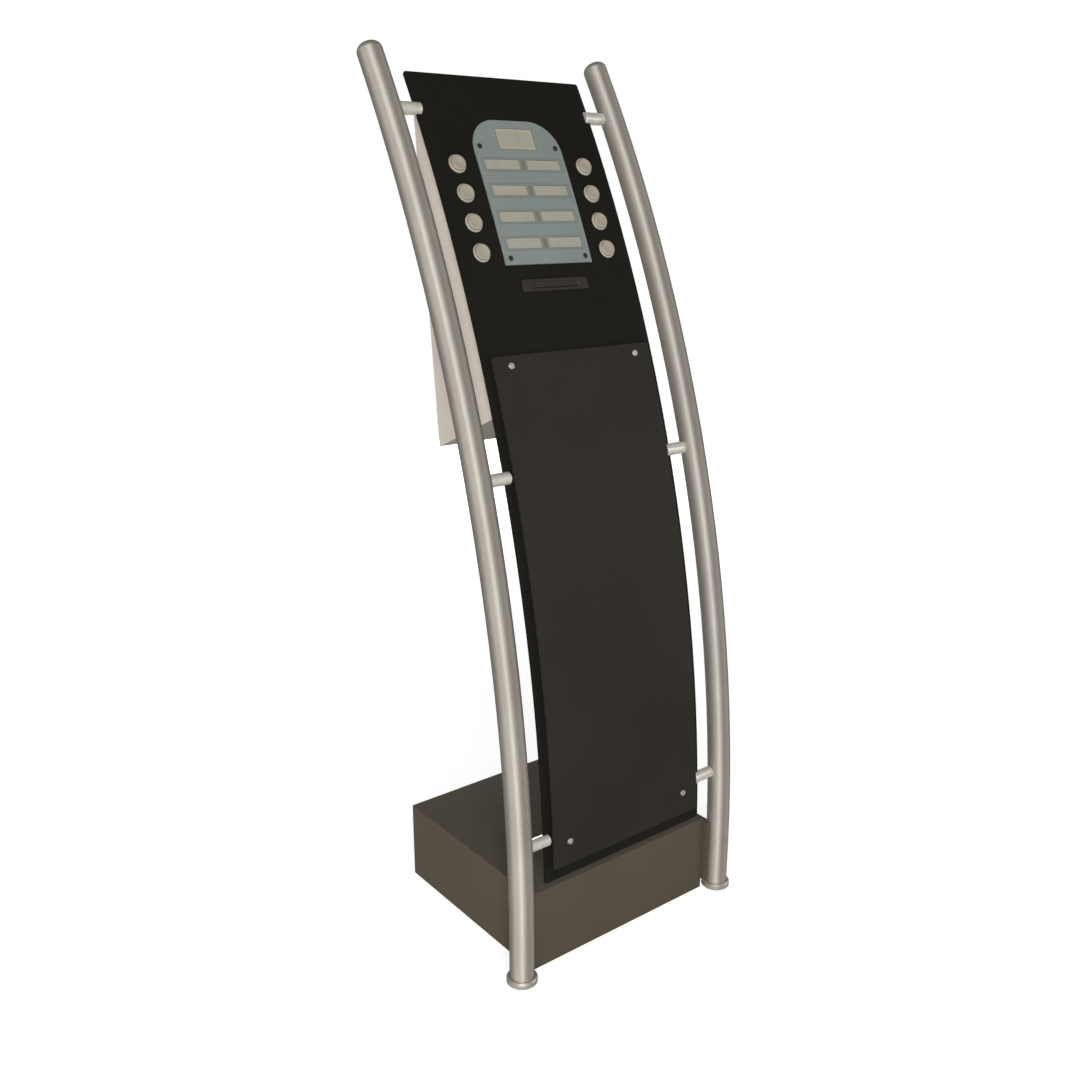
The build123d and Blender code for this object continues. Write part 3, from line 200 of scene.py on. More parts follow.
class Finish:
    """A material with one shader, and the nodes that vary its colour, gloss and relief."""

    def __init__(self, name, colour, roughness, metallic=0.0, specular=0.5):
        self.material = bpy.data.materials.new(name)
        self.material.use_nodes = True
        self.tree = self.material.node_tree
        self.shader = self.tree.nodes["Principled BSDF"]
        self.colour = colour
        self.roughness = roughness
        self.put("Base Color", (*colour, 1.0))
        self.put("Roughness", roughness)
        self.put("Metallic", metallic)
        self.put("Specular IOR Level", specular)
        self.place = self.node("ShaderNodeTexCoord").outputs["Object"]
        self.last_bump = None

    def node(self, kind, **settings):
        return add_node(self.tree, kind, **settings)

    def link(self, start, end):
        self.tree.links.new(start, end)

    def put(self, socket, value):
        self.shader.inputs[socket].default_value = value

    def drive(self, socket, value):
        self.link(value, self.shader.inputs[socket])

    def scaled(self, scale, centre=(0, 0, 0)):
        """Object coordinates about a centre, scaled along each axis."""
        mapping = self.node("ShaderNodeMapping")
        mapping.inputs["Scale"].default_value = scale
        mapping.inputs["Location"].default_value = [-middle * factor for middle, factor in zip(centre, scale)]
        self.link(self.place, mapping.inputs["Vector"])
        return mapping.outputs["Vector"]

    def noise(self, scale, detail, place=None):
        made = self.node("ShaderNodeTexNoise")
        made.inputs["Scale"].default_value = scale
        made.inputs["Detail"].default_value = detail
        self.link(place or self.place, made.inputs["Vector"])
        return made.outputs["Fac"]

    def spread(self, noise, low, high):
        """A noise mapped to a range."""
        return map_range(self.tree, noise, noise_low, noise_high, low, high)

    def mix(self, factor, first, second):
        """Colours mixed by a factor; each may be a colour or a socket."""
        made = self.node("ShaderNodeMix", data_type="RGBA")
        self.link(factor, made.inputs["Factor"])
        ends = [socket for socket in made.inputs if socket.type == "RGBA"]
        for socket, value in zip(ends, (first, second)):
            if isinstance(value, tuple):
                socket.default_value = (*value, 1.0)
            else:
                self.link(value, socket)
        return [socket for socket in made.outputs if socket.type == "RGBA"][0]

    def paint(self, colour):
        self.drive("Base Color", colour)

    def mottle(self, noise, amount):
        """Vary the colour a little, darker and lighter."""
        dark = shaded(self.colour, 1 - amount)
        light = shaded(self.colour, 1 + amount)
        colour = self.mix(self.spread(noise, 0, 1), dark, light)
        self.paint(colour)
        return colour

    def gloss(self, noise, less, more):
        """Vary the roughness between a little less and a little more."""
        self.drive("Roughness", self.spread(noise, self.roughness - less, self.roughness + more))

    def relief(self, height, depth):
        """Add relief to the surface, on top of what it has."""
        bump = self.node("ShaderNodeBump")
        bump.inputs["Distance"].default_value = depth
        self.link(height, bump.inputs["Height"])
        if self.last_bump:
            self.link(self.last_bump, bump.inputs["Normal"])
        self.last_bump = bump.outputs["Normal"]
        self.drive("Normal", self.last_bump)

    def beyond(self, spot):
        """1 where the surface lies further out than a spot, else 0."""
        offset = self.node("ShaderNodeVectorMath", operation="SUBTRACT")
        self.link(self.place, offset.inputs[0])
        offset.inputs[1].default_value = spot.origin
        height = self.node("ShaderNodeVectorMath", operation="DOT_PRODUCT")
        self.link(offset.outputs["Vector"], height.inputs[0])
        height.inputs[1].default_value = spot.out
        return map_range(self.tree, height.outputs["Value"], face_level, face_level + face_step, 0, 1)

    def edge(self, radius):
        """1 near sharp edges, 0 on flat faces."""
        bevel = self.node("ShaderNodeBevel", samples=edge_samples)
        bevel.inputs["Radius"].default_value = radius
        geometry = self.node("ShaderNodeNewGeometry")
        turn = self.node("ShaderNodeVectorMath", operation="DOT_PRODUCT")
        self.link(bevel.outputs["Normal"], turn.inputs[0])
        self.link(geometry.outputs["True Normal"], turn.inputs[1])
        return map_range(self.tree, turn.outputs["Value"], 1 - edge_turn, 1, 1, 0)


def powder_coat(name, colour, roughness, grain=900, depth=0.06 * MM, specular=0.4, wear=0.0):
    """Paint with a fine orange peel, and paler along its edges where wear is set."""
    worn_gain = 1.35
    worn_lift = 0.01
    worn_reach = 1.5 * MM
    finish = Finish(name, colour, roughness, specular=specular)
    cloud = finish.noise(scale=6.0, detail=4.0)
    peel = finish.noise(scale=grain, detail=2.0)
    coat = finish.mottle(cloud, amount=0.05)
    if wear:
        pale = shaded(colour, worn_gain, worn_lift)
        patches = finish.noise(scale=60, detail=4.0)
        worn = finish.node("ShaderNodeMath", operation="MULTIPLY")
        finish.link(finish.edge(worn_reach), worn.inputs[0])
        finish.link(finish.spread(patches, 0, wear), worn.inputs[1])
        finish.paint(finish.mix(worn.outputs["Value"], coat, pale))
    finish.gloss(peel, less=0.06, more=0.06)
    finish.relief(peel, depth)
    return finish.material


def satin_metal(name, colour, roughness, drawn_out=0.0):
    """Satin metal; drawn_out stretches its highlights along the bend of the rails."""
    edge_tint = (0.1, 0.1, 0.1, 1.0)
    grain_scale = (1800, 1800, 30)
    mean_rise = 0.95
    finish = Finish(name, colour, roughness, metallic=0.85, specular=0.1)
    finish.put("Specular Tint", edge_tint)
    grain = finish.noise(scale=1.0, detail=3.0, place=finish.scaled(grain_scale))
    cloud = finish.noise(scale=9.0, detail=4.0)
    finish.mottle(cloud, amount=0.05)
    finish.gloss(grain, less=0.05, more=0.07)
    finish.relief(grain, depth=0.012 * MM)
    if drawn_out:
        finish.put("Anisotropic", drawn_out)
        parts = finish.node("ShaderNodeSeparateXYZ")
        finish.link(finish.place, parts.inputs["Vector"])
        lean = map_range(finish.tree, parts.outputs["Z"], bend_z, bend_z + rail_bend_radius, 0, 1)
        along = finish.node("ShaderNodeCombineXYZ")
        finish.link(lean, along.inputs["Y"])
        along.inputs["Z"].default_value = mean_rise
        finish.drive("Tangent", along.outputs["Vector"])
    return finish.material


def turned_metal(name, colour, roughness, metallic):
    """Small turned or plated metal pieces."""
    finish = Finish(name, colour, roughness, metallic)
    fine = finish.noise(scale=2200, detail=2.0)
    cloud = finish.noise(scale=120, detail=4.0)
    finish.mottle(cloud, amount=0.08)
    finish.gloss(fine, less=0.06, more=0.1)
    finish.relief(fine, depth=0.01 * MM)
    return finish.material


def galvanised(name, block_spot=None):
    """Zinc coated sheet with its pattern of crystals; beyond block_spot it is dark plastic."""
    colour = linear(186, 187, 186)
    block_colour = linear(34, 34, 36)
    dark_share = 0.86
    metallic = 0.85
    finish = Finish(name, colour, roughness=0.36, metallic=metallic)
    crystals = finish.node("ShaderNodeTexVoronoi")
    crystals.inputs["Scale"].default_value = 130
    finish.link(finish.place, crystals.inputs["Vector"])
    shade = finish.node("ShaderNodeSeparateColor")
    finish.link(crystals.outputs["Color"], shade.inputs["Color"])
    crystal = shade.outputs["Red"]
    dark = shaded(colour, dark_share)
    coat = finish.mix(crystal, dark, colour)
    if block_spot:
        past = finish.beyond(block_spot)
        coat = finish.mix(past, coat, block_colour)
        finish.drive("Metallic", map_range(finish.tree, past, 0, 1, metallic, 0))
    finish.paint(coat)
    finish.gloss(crystal, less=0.05, more=0.1)
    finish.relief(finish.noise(scale=700, detail=2.0), depth=0.012 * MM)
    return finish.material


def smooth_plastic(name, colour, roughness, specular=0.45, soft=0.0):
    """Moulded plastic with a fine spark grain; soft lets light into it."""
    finish = Finish(name, colour, roughness, specular=specular)
    fine = finish.noise(scale=1400, detail=2.0)
    cloud = finish.noise(scale=45, detail=3.0)
    finish.mottle(cloud, amount=0.04)
    finish.gloss(fine, less=0.05, more=0.08)
    finish.relief(fine, depth=0.018 * MM)
    if soft:
        finish.put("Subsurface Weight", soft)
        finish.put("Subsurface Radius", (1.0, 0.8, 0.6))
        finish.put("Subsurface Scale", 0.6 * MM)
    return finish.material


def black_sheet(name, colour, roughness, specular):
    """Dark panel sheet: nearly even, with faint clouds of handling and a fine grain."""
    finish = Finish(name, colour, roughness, specular=specular)
    cloud = finish.noise(scale=5.0, detail=5.0)
    grain = finish.noise(scale=1600, detail=2.0)
    finish.mottle(cloud, amount=0.12)
    finish.gloss(cloud, less=0.05, more=0.08)
    finish.relief(grain, depth=0.01 * MM)
    return finish.material


def card_stock(name, colour):
    """Matt paper with fibres."""
    fibre_scale = (900, 500, 500)
    finish = Finish(name, colour, roughness=0.75, specular=0.25)
    fibre = finish.noise(scale=1.0, detail=4.0, place=finish.scaled(fibre_scale))
    cloud = finish.noise(scale=70, detail=5.0)
    finish.mottle(cloud, amount=0.05)
    finish.relief(fibre, depth=0.02 * MM)
    return finish.material


def wound_paper(name, colour, axis_point):
    """Paper roll: the ends show the edges of its turns."""
    dark_share = 0.8
    finish = Finish(name, colour, roughness=0.7, specular=0.25)
    rings = finish.node("ShaderNodeTexWave", wave_type="RINGS", rings_direction="X")
    rings.inputs["Scale"].default_value = 700
    rings.inputs["Distortion"].default_value = 1.5
    rings.inputs["Detail"].default_value = 2.0
    finish.link(finish.scaled((1, 1, 1), axis_point), rings.inputs["Vector"])
    dark = shaded(colour, dark_share)
    finish.paint(finish.mix(rings.outputs["Fac"], dark, colour))
    finish.relief(rings.outputs["Fac"], depth=0.03 * MM)
    return finish.material


def circuit_board(name, face_spot):
    """Green board with its tracks; what stands above its face is dark moulding."""
    mask = linear(24, 92, 56)
    mask_shade = linear(20, 82, 50)
    track = linear(44, 112, 70)
    moulding = linear(38, 38, 40)
    stretch = (1, 0.2, 1)
    finish = Finish(name, mask, roughness=0.38, specular=0.5)
    tracks = finish.node("ShaderNodeTexBrick")
    tracks.inputs["Scale"].default_value = 60
    tracks.inputs["Brick Width"].default_value = 0.9
    tracks.inputs["Row Height"].default_value = 0.1
    tracks.inputs["Mortar Size"].default_value = 0.016
    for socket, colour in (("Color1", mask), ("Color2", mask_shade), ("Mortar", track)):
        tracks.inputs[socket].default_value = (*colour, 1)
    finish.link(finish.scaled(stretch), tracks.inputs["Vector"])
    finish.paint(finish.mix(finish.beyond(face_spot), tracks.outputs["Color"], moulding))
    finish.relief(finish.noise(scale=500, detail=3.0), depth=0.02 * MM)
    return finish.material


# Finishes of the outside
silver = satin_metal("rail_silver", linear(209, 203, 193), roughness=0.78, drawn_out=0.9)
cap_silver = satin_metal("cap_silver", linear(216, 210, 200), roughness=0.44)
taupe = powder_coat("base_taupe", linear(91, 83, 70), roughness=0.75, specular=0.1, wear=0.5)
ballast = powder_coat("ballast_steel", linear(70, 68, 66), roughness=0.6)
black = black_sheet("panel_black", linear(31, 30, 26), roughness=0.55, specular=0.06)
charcoal = black_sheet("overlay_charcoal", linear(48, 45, 40), roughness=0.5, specular=0.08)
pale_metal = turned_metal("clamp_metal", linear(226, 222, 211), roughness=0.34, metallic=0.4)
cap_metal = turned_metal("overlay_cap_metal", linear(196, 191, 180), roughness=0.36, metallic=0.6)
zinc = turned_metal("zinc_fasteners", linear(172, 172, 168), roughness=0.34, metallic=0.9)
dark_metal = turned_metal("dark_screws", linear(70, 66, 60), roughness=0.4, metallic=0.6)
plate_blue = powder_coat(
    "plate_blue", linear(135, 144, 140), roughness=0.5, grain=1500, depth=0.02 * MM, specular=0.25
)
card = card_stock("label_card", linear(169, 166, 151))
ivory = smooth_plastic("button_ivory", linear(172, 165, 149), roughness=0.34, specular=0.5, soft=0.15)
flange_ivory = smooth_plastic(
    "flange_ivory", linear(182, 176, 162), roughness=0.34, specular=0.5, soft=0.15
)
bezel_plastic = smooth_plastic("bezel_plastic", linear(54, 50, 45), roughness=0.5, specular=0.2)
beige = powder_coat("housing_beige", linear(214, 204, 192), roughness=0.55, grain=1100, specular=0.2)
chrome = turned_metal("lock_chrome", linear(215, 215, 215), roughness=0.16, metallic=1.0)

# Finishes of the inside
paper_white = linear(236, 234, 228)
dark_plastic = smooth_plastic("dark_plastic", linear(60, 56, 51), roughness=0.55, specular=0.15)
sheet_zinc = galvanised("printer_zinc")
supply_zinc = galvanised("supply_zinc", block_spot=supply_spot)
rubber = smooth_plastic("platen_rubber", linear(46, 46, 46), roughness=0.7, specular=0.25)
nylon = smooth_plastic("gear_nylon", linear(226, 222, 208), roughness=0.45, soft=0.2)
motor_black = powder_coat("motor_black", linear(50, 50, 54), roughness=0.45)
aluminium = turned_metal("head_aluminium", linear(196, 198, 200), roughness=0.36, metallic=0.9)
thermal_paper = card_stock("thermal_paper", paper_white)
roll_paper = wound_paper("roll_paper", paper_white, node_centre("paper_roll"))
board_green = circuit_board("board_green", board_spot)

finishes = {
    silver: ["rail_left", "rail_right"],
    cap_silver: ["rail_caps", "rail_feet"],
    taupe: ["base_shell", "rail_lugs"],
    ballast: ["base_floor_plate"],
    black: ["front_panel"],
    charcoal: ["overlay_panel"],
    pale_metal: ["panel_clamps"],
    cap_metal: ["overlay_caps"],
    zinc: [
        "base_screws", "rail_bolts", "clamp_studs", "clamp_grub_screws", "overlay_nuts", "housing_screws",
        "hinge_pins", "lock_nut", "lock_cam", "board_standoffs", "roll_spindle",
    ],
    dark_metal: ["info_plate_screws"],
    plate_blue: ["info_plate"],
    card: ["label_cards", "header_card"],
    ivory: [f"button_cap_{number}" for number in range(1, 9)],
    flange_ivory: ["button_bodies"],
    bezel_plastic: ["ticket_bezel"],
    beige: ["housing_shell", "rear_door"],
    chrome: ["lock_body", "lock_plug", "hinge_leaves_fixed", "hinge_leaves_door"],
    dark_plastic: [
        "overlay_spacers", "button_nuts", "button_switches", "cutter_unit", "paper_chute", "power_inlet",
    ],
    sheet_zinc: ["printer_frame", "roll_bracket"],
    supply_zinc: ["power_supply"],
    rubber: ["platen_roller"],
    nylon: ["platen_gear", "idler_gear", "motor_pinion"],
    motor_black: ["stepper_motor"],
    aluminium: ["print_head"],
    thermal_paper: ["paper_web"],
    roll_paper: ["paper_roll"],
    board_green: ["control_board"],
}
for material, names in finishes.items():
    for name in names:
        for slot in nodes[name].material_slots:
            slot.material = material


def new_piece(name, mesh_data, material, body):
    """An object made from a bmesh, which moves with a body."""
    mesh = bpy.data.meshes.new(name)
    mesh_data.to_mesh(mesh)
    mesh_data.free()
    piece = bpy.data.objects.new(name, mesh)
    scene.collection.objects.link(piece)
    mesh.materials.append(material)
    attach(piece, body)
    return piece


def closed_loop(made, points):
    return [made.verts.new(point) for point in points]


def skin(made, loops, closed=False):
    """Faces between loops that have as many points each; closed joins the last loop to the first."""
    pairs = list(zip(loops, loops[1:]))
    if closed:
        pairs.append((loops[-1], loops[0]))
    for lower, upper in pairs:
        for index in range(len(lower)):
            following = (index + 1) % len(lower)
            made.faces.new((lower[index], lower[following], upper[following], upper[index]))


def rectangle(spot, width, height, level):
    """Corners of a rectangle about a spot."""
    return [spot.at(x * width / 2, y * height / 2, level) for x, y in square]


def raised_ring(made, spot, size, line, low, high):
    """Thin frame round an opening, from one level to another."""
    width, height = size
    outer = (width + 2 * line, height + 2 * line)
    loops = []
    for (across, upward), level in ((outer, low), (outer, high), (size, high), (size, low)):
        loops.append(closed_loop(made, rectangle(spot, across, upward, level)))
    skin(made, loops, closed=True)


def block(made, spot, size, height, edge):
    """Rectangular block on a spot, with its upper edges taken off."""
    width, depth = size
    loops = []
    for inset, level in ((0, 0), (0, height - edge), (edge, height)):
        corners = rectangle(spot, width - 2 * inset, depth - 2 * inset, level)
        loops.append(closed_loop(made, corners))
    skin(made, loops)
    made.faces.new(loops[-1])
    made.faces.new(loops[0][::-1])


# Form of a screw's head: its rounding in degrees, and its cross recess in shares of the head
crown_steps = (30, 60, 90)
circle_points = 24
recess_reach = 0.6
recess_half_width = 0.13
recess_depth = 0.5


def circle(spot, radius, level):
    angles = [2 * math.pi * index / circle_points for index in range(circle_points)]
    return [spot.at(radius * math.cos(angle), radius * math.sin(angle), level) for angle in angles]


def cross_outline(arm, half_width):
    """Corners of a cross, three to each arm."""
    corners = []
    for turn in range(4):
        angle = turn * math.pi / 2
        for along, beside in ((half_width, -half_width), (arm, -half_width), (arm, half_width)):
            x = along * math.cos(angle) - beside * math.sin(angle)
            y = along * math.sin(angle) + beside * math.cos(angle)
            corners.append((x, y))
    return corners


def cross_screw(made, spot, head, shank):
    """Screw with a rounded head and a cross recess; spot is where its head sits."""
    radius, height, edge = head
    shank_radius, shank_length = shank
    profile = [(shank_radius, -shank_length), (shank_radius, 0), (radius, 0), (radius, height - edge)]
    for step in crown_steps:
        angle = math.radians(step)
        profile.append((radius - edge + edge * math.cos(angle), height - edge + edge * math.sin(angle)))
    loops = [closed_loop(made, circle(spot, *point)) for point in profile]
    skin(made, loops)
    made.faces.new(loops[0][::-1])
    outline = cross_outline(recess_reach * radius, recess_half_width * radius)
    recess_floor = height - recess_depth * height
    rim = closed_loop(made, [spot.at(x, y, height) for x, y in outline])
    floor_loop = closed_loop(made, [spot.at(x, y, recess_floor) for x, y in outline])
    skin(made, [rim, floor_loop])
    made.faces.new(floor_loop)
    edges = []
    for loop in (loops[-1], rim):
        edges += [made.edges.get((first, second)) for first, second in zip(loop, loop[1:] + loop[:1])]
    bmesh.ops.triangle_fill(made, use_beauty=True, edges=edges, normal=spot.out)


# Frames round the labels, the rows and the header, and the dividers between the labels; the frames' darker
# tone than the plate is painted shade along the window edges
label_line = 0.8 * MM
row_line = 0.7 * MM
row_margin = (4.0 * MM, 2.6 * MM)
header_line = 4.0 * MM
divider_size = (7.5 * MM, 17.0 * MM)
proud = 0.3 * MM
frame_top = plate_thickness + proud
divider_ink = smooth_plastic("label_divider", linear(124, 120, 106), roughness=0.6, specular=0.2)
# The frames are tinted darker than the plate as painted shade where the window edges would cast shadow
frame_painted_shade = smooth_plastic("window_frame", linear(116, 119, 114), roughness=0.6, specular=0.2)
header_ink = card_stock("header_rim", linear(180, 174, 156))

window_frames = bmesh.new()
dividers = bmesh.new()
row_size = (2 * (label_size[0] + row_margin[0]) + label_gap, label_size[1] + 2 * row_margin[1])
for row in range(label_rows):
    row_spot = panel_spot(plate_station + label_rise + row * label_pitch)
    raised_ring(window_frames, row_spot, row_size, row_line, plate_thickness, frame_top)
    for side in sides:
        label_spot = row_spot.moved(side * (label_size[0] + label_gap) / 2, 0)
        raised_ring(window_frames, label_spot, label_size, label_line, plate_thickness, frame_top)
    block(dividers, row_spot.moved(0, 0, plate_thickness), divider_size, 2 * proud, proud)
header_spot = panel_spot(plate_station + header_rise)
raised_ring(window_frames, header_spot, header_size, label_line, plate_thickness, frame_top)
new_piece("window_frames", window_frames, frame_painted_shade, "kiosk")
new_piece("label_dividers", dividers, divider_ink, "kiosk")

header_rim = bmesh.new()
rim_opening = (header_size[0] - 2 * header_line, header_size[1] - 2 * header_line)
rim_line = header_line - proud
raised_ring(header_rim, header_spot, rim_opening, rim_line, card_thickness, plate_thickness)
new_piece("header_rim", header_rim, header_ink, "kiosk")

# Soft lip of the ticket mouth, open along its lower edge
mouth_lip = bmesh.new()
lip_rise = (mouth_height - lip_size[1]) / 2
lip_spot = panel_spot(slot_station).moved(0, lip_rise, lip_front - lip_thickness)
block(mouth_lip, lip_spot, lip_size, lip_thickness, lip_edge)
new_piece("mouth_lip", mouth_lip, bezel_plastic, "kiosk")

# Screws of the plate and of the housing's flanges
plate_screws = bmesh.new()
for rise in plate_screw_rises:
    for side in sides:
        spot = panel_spot(plate_station + rise).moved(side * plate_screw_x, 0, plate_thickness)
        cross_screw(plate_screws, spot, plate_screw_head, plate_screw_shank)
screws_piece = new_piece("plate_screws", plate_screws, dark_metal, "kiosk")
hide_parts("info_plate_screws")

housing_screws = bmesh.new()
for station in housing_screw_stations:
    for side in sides:
        spot = panel_spot(station, housing_screw_depth, -1).moved(side * housing_screw_x, 0)
        cross_screw(housing_screws, spot, housing_screw_head, housing_screw_shank)
screws_piece = new_piece("flange_screws", housing_screws, zinc, "kiosk")
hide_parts("housing_screws")

# Screws of the hinge leaves, on the door and on the housing's wall
door_joint = [joint for joint in frame["joints"] if joint["name"] == "door_hinge"][0]
hinge_point = Vector(door_joint["pos_m"])
door_up = -Vector(door_joint["axis"])
door_right = Vector((-1, 0, 0))
door_spot = Spot(hinge_point, door_right, door_up)
wall_spot = Spot(hinge_point - door_right * hinge_leaf / 2, door_spot.out, door_up)
door_leaf_screws = bmesh.new()
fixed_leaf_screws = bmesh.new()
for side in sides:
    for step in hinge_screw_steps:
        along = side * hinge_spread / 2 + step * hinge_screw_pitch
        leaf_spot = door_spot.moved(door_leaf_middle, along, -door_leaf_drop)
        cross_screw(door_leaf_screws, leaf_spot, hinge_screw_head, hinge_screw_shank)
        leaf_spot = wall_spot.moved(-fixed_leaf_middle, along)
        cross_screw(fixed_leaf_screws, leaf_spot, hinge_screw_head, hinge_screw_shank)
new_piece("door_leaf_screws", door_leaf_screws, zinc, "rear_door")
new_piece("fixed_leaf_screws", fixed_leaf_screws, zinc, "kiosk")

# Small parts on the control board, placed in its own plane as seen from behind
chip_place = (30.0 * MM, 0.0)
chip_legs = 14
chip_leg_pitch = 1.5 * MM
chip_leg_reach = 12.8 * MM  # from the middle of the chip
chip_leg_size = (1.6 * MM, 0.6 * MM)
chip_leg_height = 0.9 * MM
small_chip_places = [(2, 30), (2, 14), (2, -8), (-24, -10)]  # in millimetres
small_chip_size = (5.0 * MM, 6.2 * MM)
small_chip_height = 1.8 * MM
small_chip_legs = 4
small_leg_pitch = 1.3 * MM
small_leg_reach = 3.1 * MM
small_leg_size = (1.4 * MM, 0.5 * MM)
small_leg_height = 0.7 * MM
coil_places = [(-44, -8), (-44, -24)]  # in millimetres
coil_size = (12.0 * MM, 12.0 * MM)
coil_height = 6.0 * MM
coil_edge = 1.2 * MM
passive_columns = [16 + 6 * column for column in range(8)]  # in millimetres
passive_rows = (36, 29, 22)  # in millimetres
passive_size = (3.2 * MM, 1.6 * MM)
passive_height = 0.9 * MM
passive_end_size = (0.8 * MM, 1.9 * MM)
passive_end_height = 1.0 * MM
crystal_place = (54.0 * MM, 6.0 * MM)
crystal_size = (11.0 * MM, 4.6 * MM)
crystal_height = 3.6 * MM
crystal_edge = 0.8 * MM
pin_header_place = (-60.7 * MM, 10.9 * MM)
pin_header_size = (6.0 * MM, 21.0 * MM)
pin_header_height = 2.5 * MM
pin_grid = (2, 8)
pin_pitch = 2.54 * MM
pin_size = (0.7 * MM, 0.7 * MM)
pin_height = 8.0 * MM
small_edge = 0.2 * MM

board_chips = bmesh.new()
board_pins = bmesh.new()
board_passives = bmesh.new()


def centred(count, pitch):
    """Places of a row of things about its middle."""
    return [(index - (count - 1) / 2) * pitch for index in range(count)]


def leg_rows(spot, count, pitch, reach, size, height):
    """Legs along both sides of a chip."""
    for side in sides:
        for along in centred(count, pitch):
            block(board_pins, spot.moved(side * reach, along), size, height, small_edge)


chip_spot = board_spot.moved(*chip_place)
turned_spot = Spot(chip_spot.origin, chip_spot.up, -chip_spot.right)
for spot in (chip_spot, turned_spot):
    leg_rows(spot, chip_legs, chip_leg_pitch, chip_leg_reach, chip_leg_size, chip_leg_height)

for x, y in small_chip_places:
    spot = board_spot.moved(x * MM, y * MM)
    block(board_chips, spot, small_chip_size, small_chip_height, small_edge)
    leg_rows(spot, small_chip_legs, small_leg_pitch, small_leg_reach, small_leg_size, small_leg_height)

for x, y in coil_places:
    block(board_chips, board_spot.moved(x * MM, y * MM), coil_size, coil_height, coil_edge)

for x in passive_columns:
    for y in passive_rows:
        spot = board_spot.moved(x * MM, y * MM)
        block(board_passives, spot, passive_size, passive_height, small_edge)
        for side in sides:
            end_spot = spot.moved(side * passive_size[0] / 2, 0)
            block(board_pins, end_spot, passive_end_size, passive_end_height, small_edge)

block(board_pins, board_spot.moved(*crystal_place), crystal_size, crystal_height, crystal_edge)
pin_header_spot = board_spot.moved(*pin_header_place)
block(board_chips, pin_header_spot, pin_header_size, pin_header_height, small_edge)
for x in centred(pin_grid[0], pin_pitch):
    for y in centred(pin_grid[1], pin_pitch):
        block(board_pins, pin_header_spot.moved(x, y), pin_size, pin_height, small_edge)

epoxy = smooth_plastic("chip_epoxy", linear(36, 36, 38), roughness=0.5)
tinned = turned_metal("tinned_pins", linear(196, 196, 194), roughness=0.3, metallic=0.9)
ceramic = smooth_plastic("ceramic_parts", linear(150, 126, 98), roughness=0.5)
new_piece("board_chips", board_chips, epoxy, "kiosk")
new_piece("board_pins", board_pins, tinned, "kiosk")
new_piece("board_passives", board_passives, ceramic, "kiosk")

# Screws of the power supply's terminal block
terminal_screws = bmesh.new()
terminal_spot = supply_spot.moved(*terminal_centre, terminal_height)
for x in centred(terminal_count, terminal_pitch):
    cross_screw(terminal_screws, terminal_spot.moved(x, 0), terminal_head, terminal_shank)
new_piece("terminal_screws", terminal_screws, zinc, "kiosk")

# Floor: it takes shadows, and glows for the camera alone, more so far from the part
floor_reach = 40.0
floor_grey = 0.6
floor_roughness = 0.9
near_reach = 1.6
near_glow = 0.76
far_reach = 5.0
far_glow = 0.97


def seen_directly(tree):
    """1 for rays that come straight from the camera."""
    return add_node(tree, "ShaderNodeLightPath").outputs["Is Camera Ray"]


floor_mesh = bpy.data.meshes.new("floor")
floor_corners = [(x * floor_reach, y * floor_reach, 0) for x, y in square]
floor_mesh.from_pydata(floor_corners, [], [(0, 1, 2, 3)])
floor = bpy.data.objects.new("floor", floor_mesh)
scene.collection.objects.link(floor)

floor_material = bpy.data.materials.new("pale_floor")
floor_material.use_nodes = True
floor_tree = floor_material.node_tree
floor_shader = floor_tree.nodes["Principled BSDF"]
floor_shader.inputs["Base Color"].default_value = (floor_grey, floor_grey, floor_grey, 1)
floor_shader.inputs["Roughness"].default_value = floor_roughness
floor_shader.inputs["Specular IOR Level"].default_value = 0.0
floor_shader.inputs["Emission Color"].default_value = (1, 1, 1, 1)
floor_place = add_node(floor_tree, "ShaderNodeTexCoord").outputs["Object"]
distance = add_node(floor_tree, "ShaderNodeVectorMath", operation="LENGTH")
floor_tree.links.new(floor_place, distance.inputs[0])
glow_level = map_range(floor_tree, distance.outputs["Value"], near_reach, far_reach, near_glow, far_glow)
glow = add_node(floor_tree, "ShaderNodeMath", operation="MULTIPLY")
floor_tree.links.new(seen_directly(floor_tree), glow.inputs[0])
floor_tree.links.new(glow_level, glow.inputs[1])
floor_tree.links.new(glow.outputs["Value"], floor_shader.inputs["Emission Strength"])
floor_mesh.materials.append(floor_material)

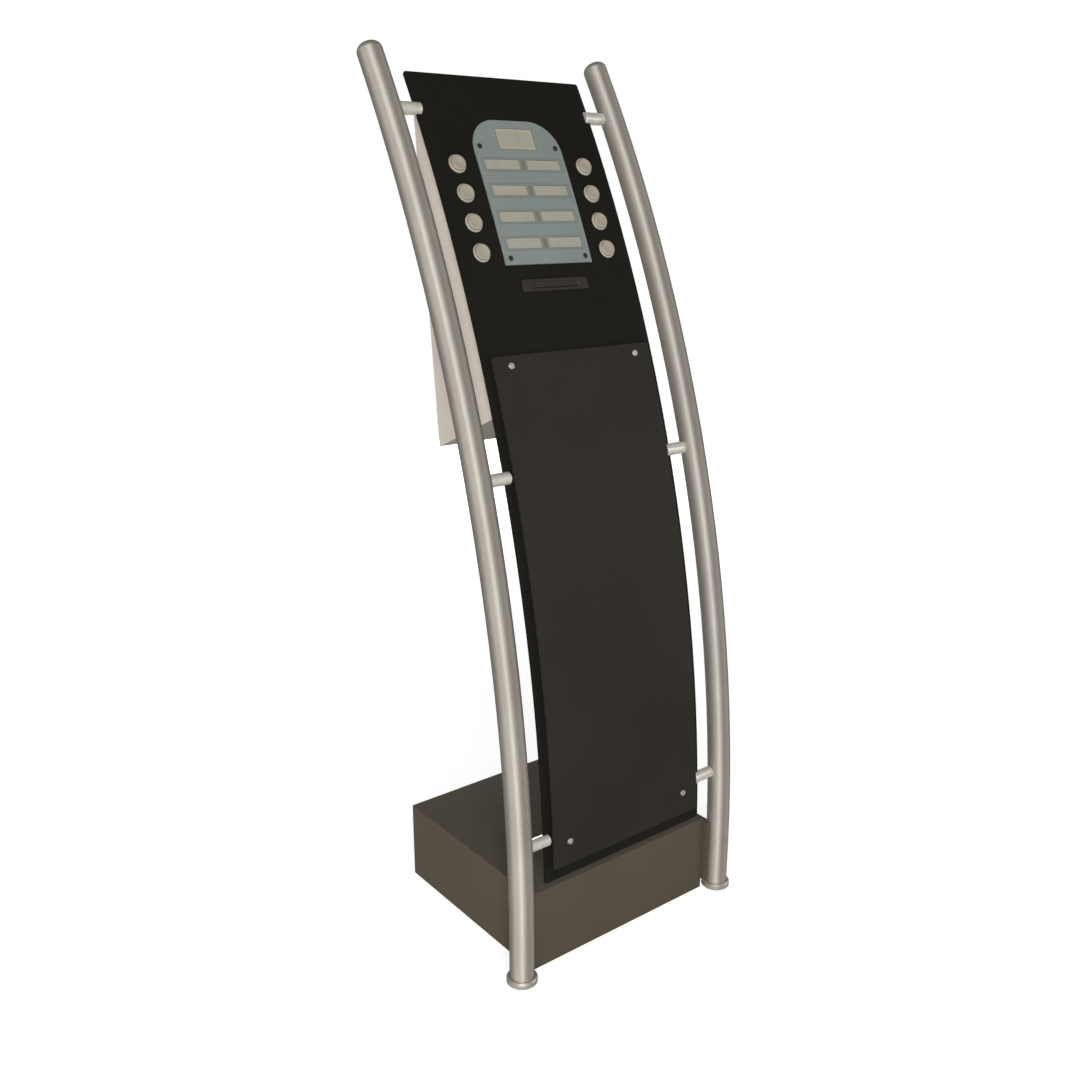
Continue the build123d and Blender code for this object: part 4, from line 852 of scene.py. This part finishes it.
# Surroundings: white for the camera, and dim light that fades upwards for the part
horizon_level = 0.25
zenith_level = 0.05
world = bpy.data.worlds.new("studio")
scene.world = world
world.use_nodes = True
sky = world.node_tree
background = sky.nodes["Background"]
background.inputs["Color"].default_value = (1, 1, 1, 1)
sky_direction = add_node(sky, "ShaderNodeTexCoord").outputs["Generated"]
sky_parts = add_node(sky, "ShaderNodeSeparateXYZ")
sky.links.new(sky_direction, sky_parts.inputs["Vector"])
dim_light = map_range(sky, sky_parts.outputs["Z"], 0.0, 1.0, horizon_level, zenith_level)
sky_level = add_node(sky, "ShaderNodeMix", data_type="FLOAT")
sky.links.new(seen_directly(sky), sky_level.inputs["Factor"])
sky.links.new(dim_light, sky_level.inputs["A"])
sky_level.inputs["B"].default_value = 1.0
sky.links.new(sky_level.outputs["Result"], background.inputs["Strength"])

light_target = Vector((0, 0, 0.75))


def soft_light(name, place, power, width, height):
    """Rectangular lamp that faces the part; its power is in watts."""
    lamp = bpy.data.lights.new(name, "AREA")
    lamp.shape = "RECTANGLE"
    lamp.energy = power
    lamp.size = width
    lamp.size_y = height
    holder = bpy.data.objects.new(name, lamp)
    holder.location = place
    holder.rotation_euler = (light_target - Vector(place)).to_track_quat("-Z", "Y").to_euler()
    scene.collection.objects.link(holder)


soft_light("key", (-2.15, -3.0, 1.6), power=118, width=1.2, height=3.2)
soft_light("left", (-3.4, -0.4, 0.5), power=33, width=1.6, height=0.9)
soft_light("fill", (3.2, -2.4, 1.2), power=24, width=2.0, height=2.0)
soft_light("rear", (1.9, 3.5, 0.95), power=64, width=1.6, height=1.9)

# Camera of the photo, with its angles in radians
camera_place = (-1139.9 * MM, -1415.1 * MM, 1188.5 * MM)
camera_yaw = 0.662
camera_pitch = 0.289
focal_pixels = 1134.3
photo_pixels = 1080
sensor_width = 36.0
camera_data = bpy.data.cameras.new("camera")
camera_data.sensor_width = sensor_width
camera_data.lens = sensor_width * focal_pixels / photo_pixels
camera_data.clip_start = 0.01
camera_data.clip_end = 200
camera = bpy.data.objects.new("camera", camera_data)
camera.location = camera_place
camera.rotation_euler = (math.pi / 2 - camera_pitch, 0, -camera_yaw)
scene.collection.objects.link(camera)
scene.camera = camera
scene.view_settings.view_transform = "Standard"
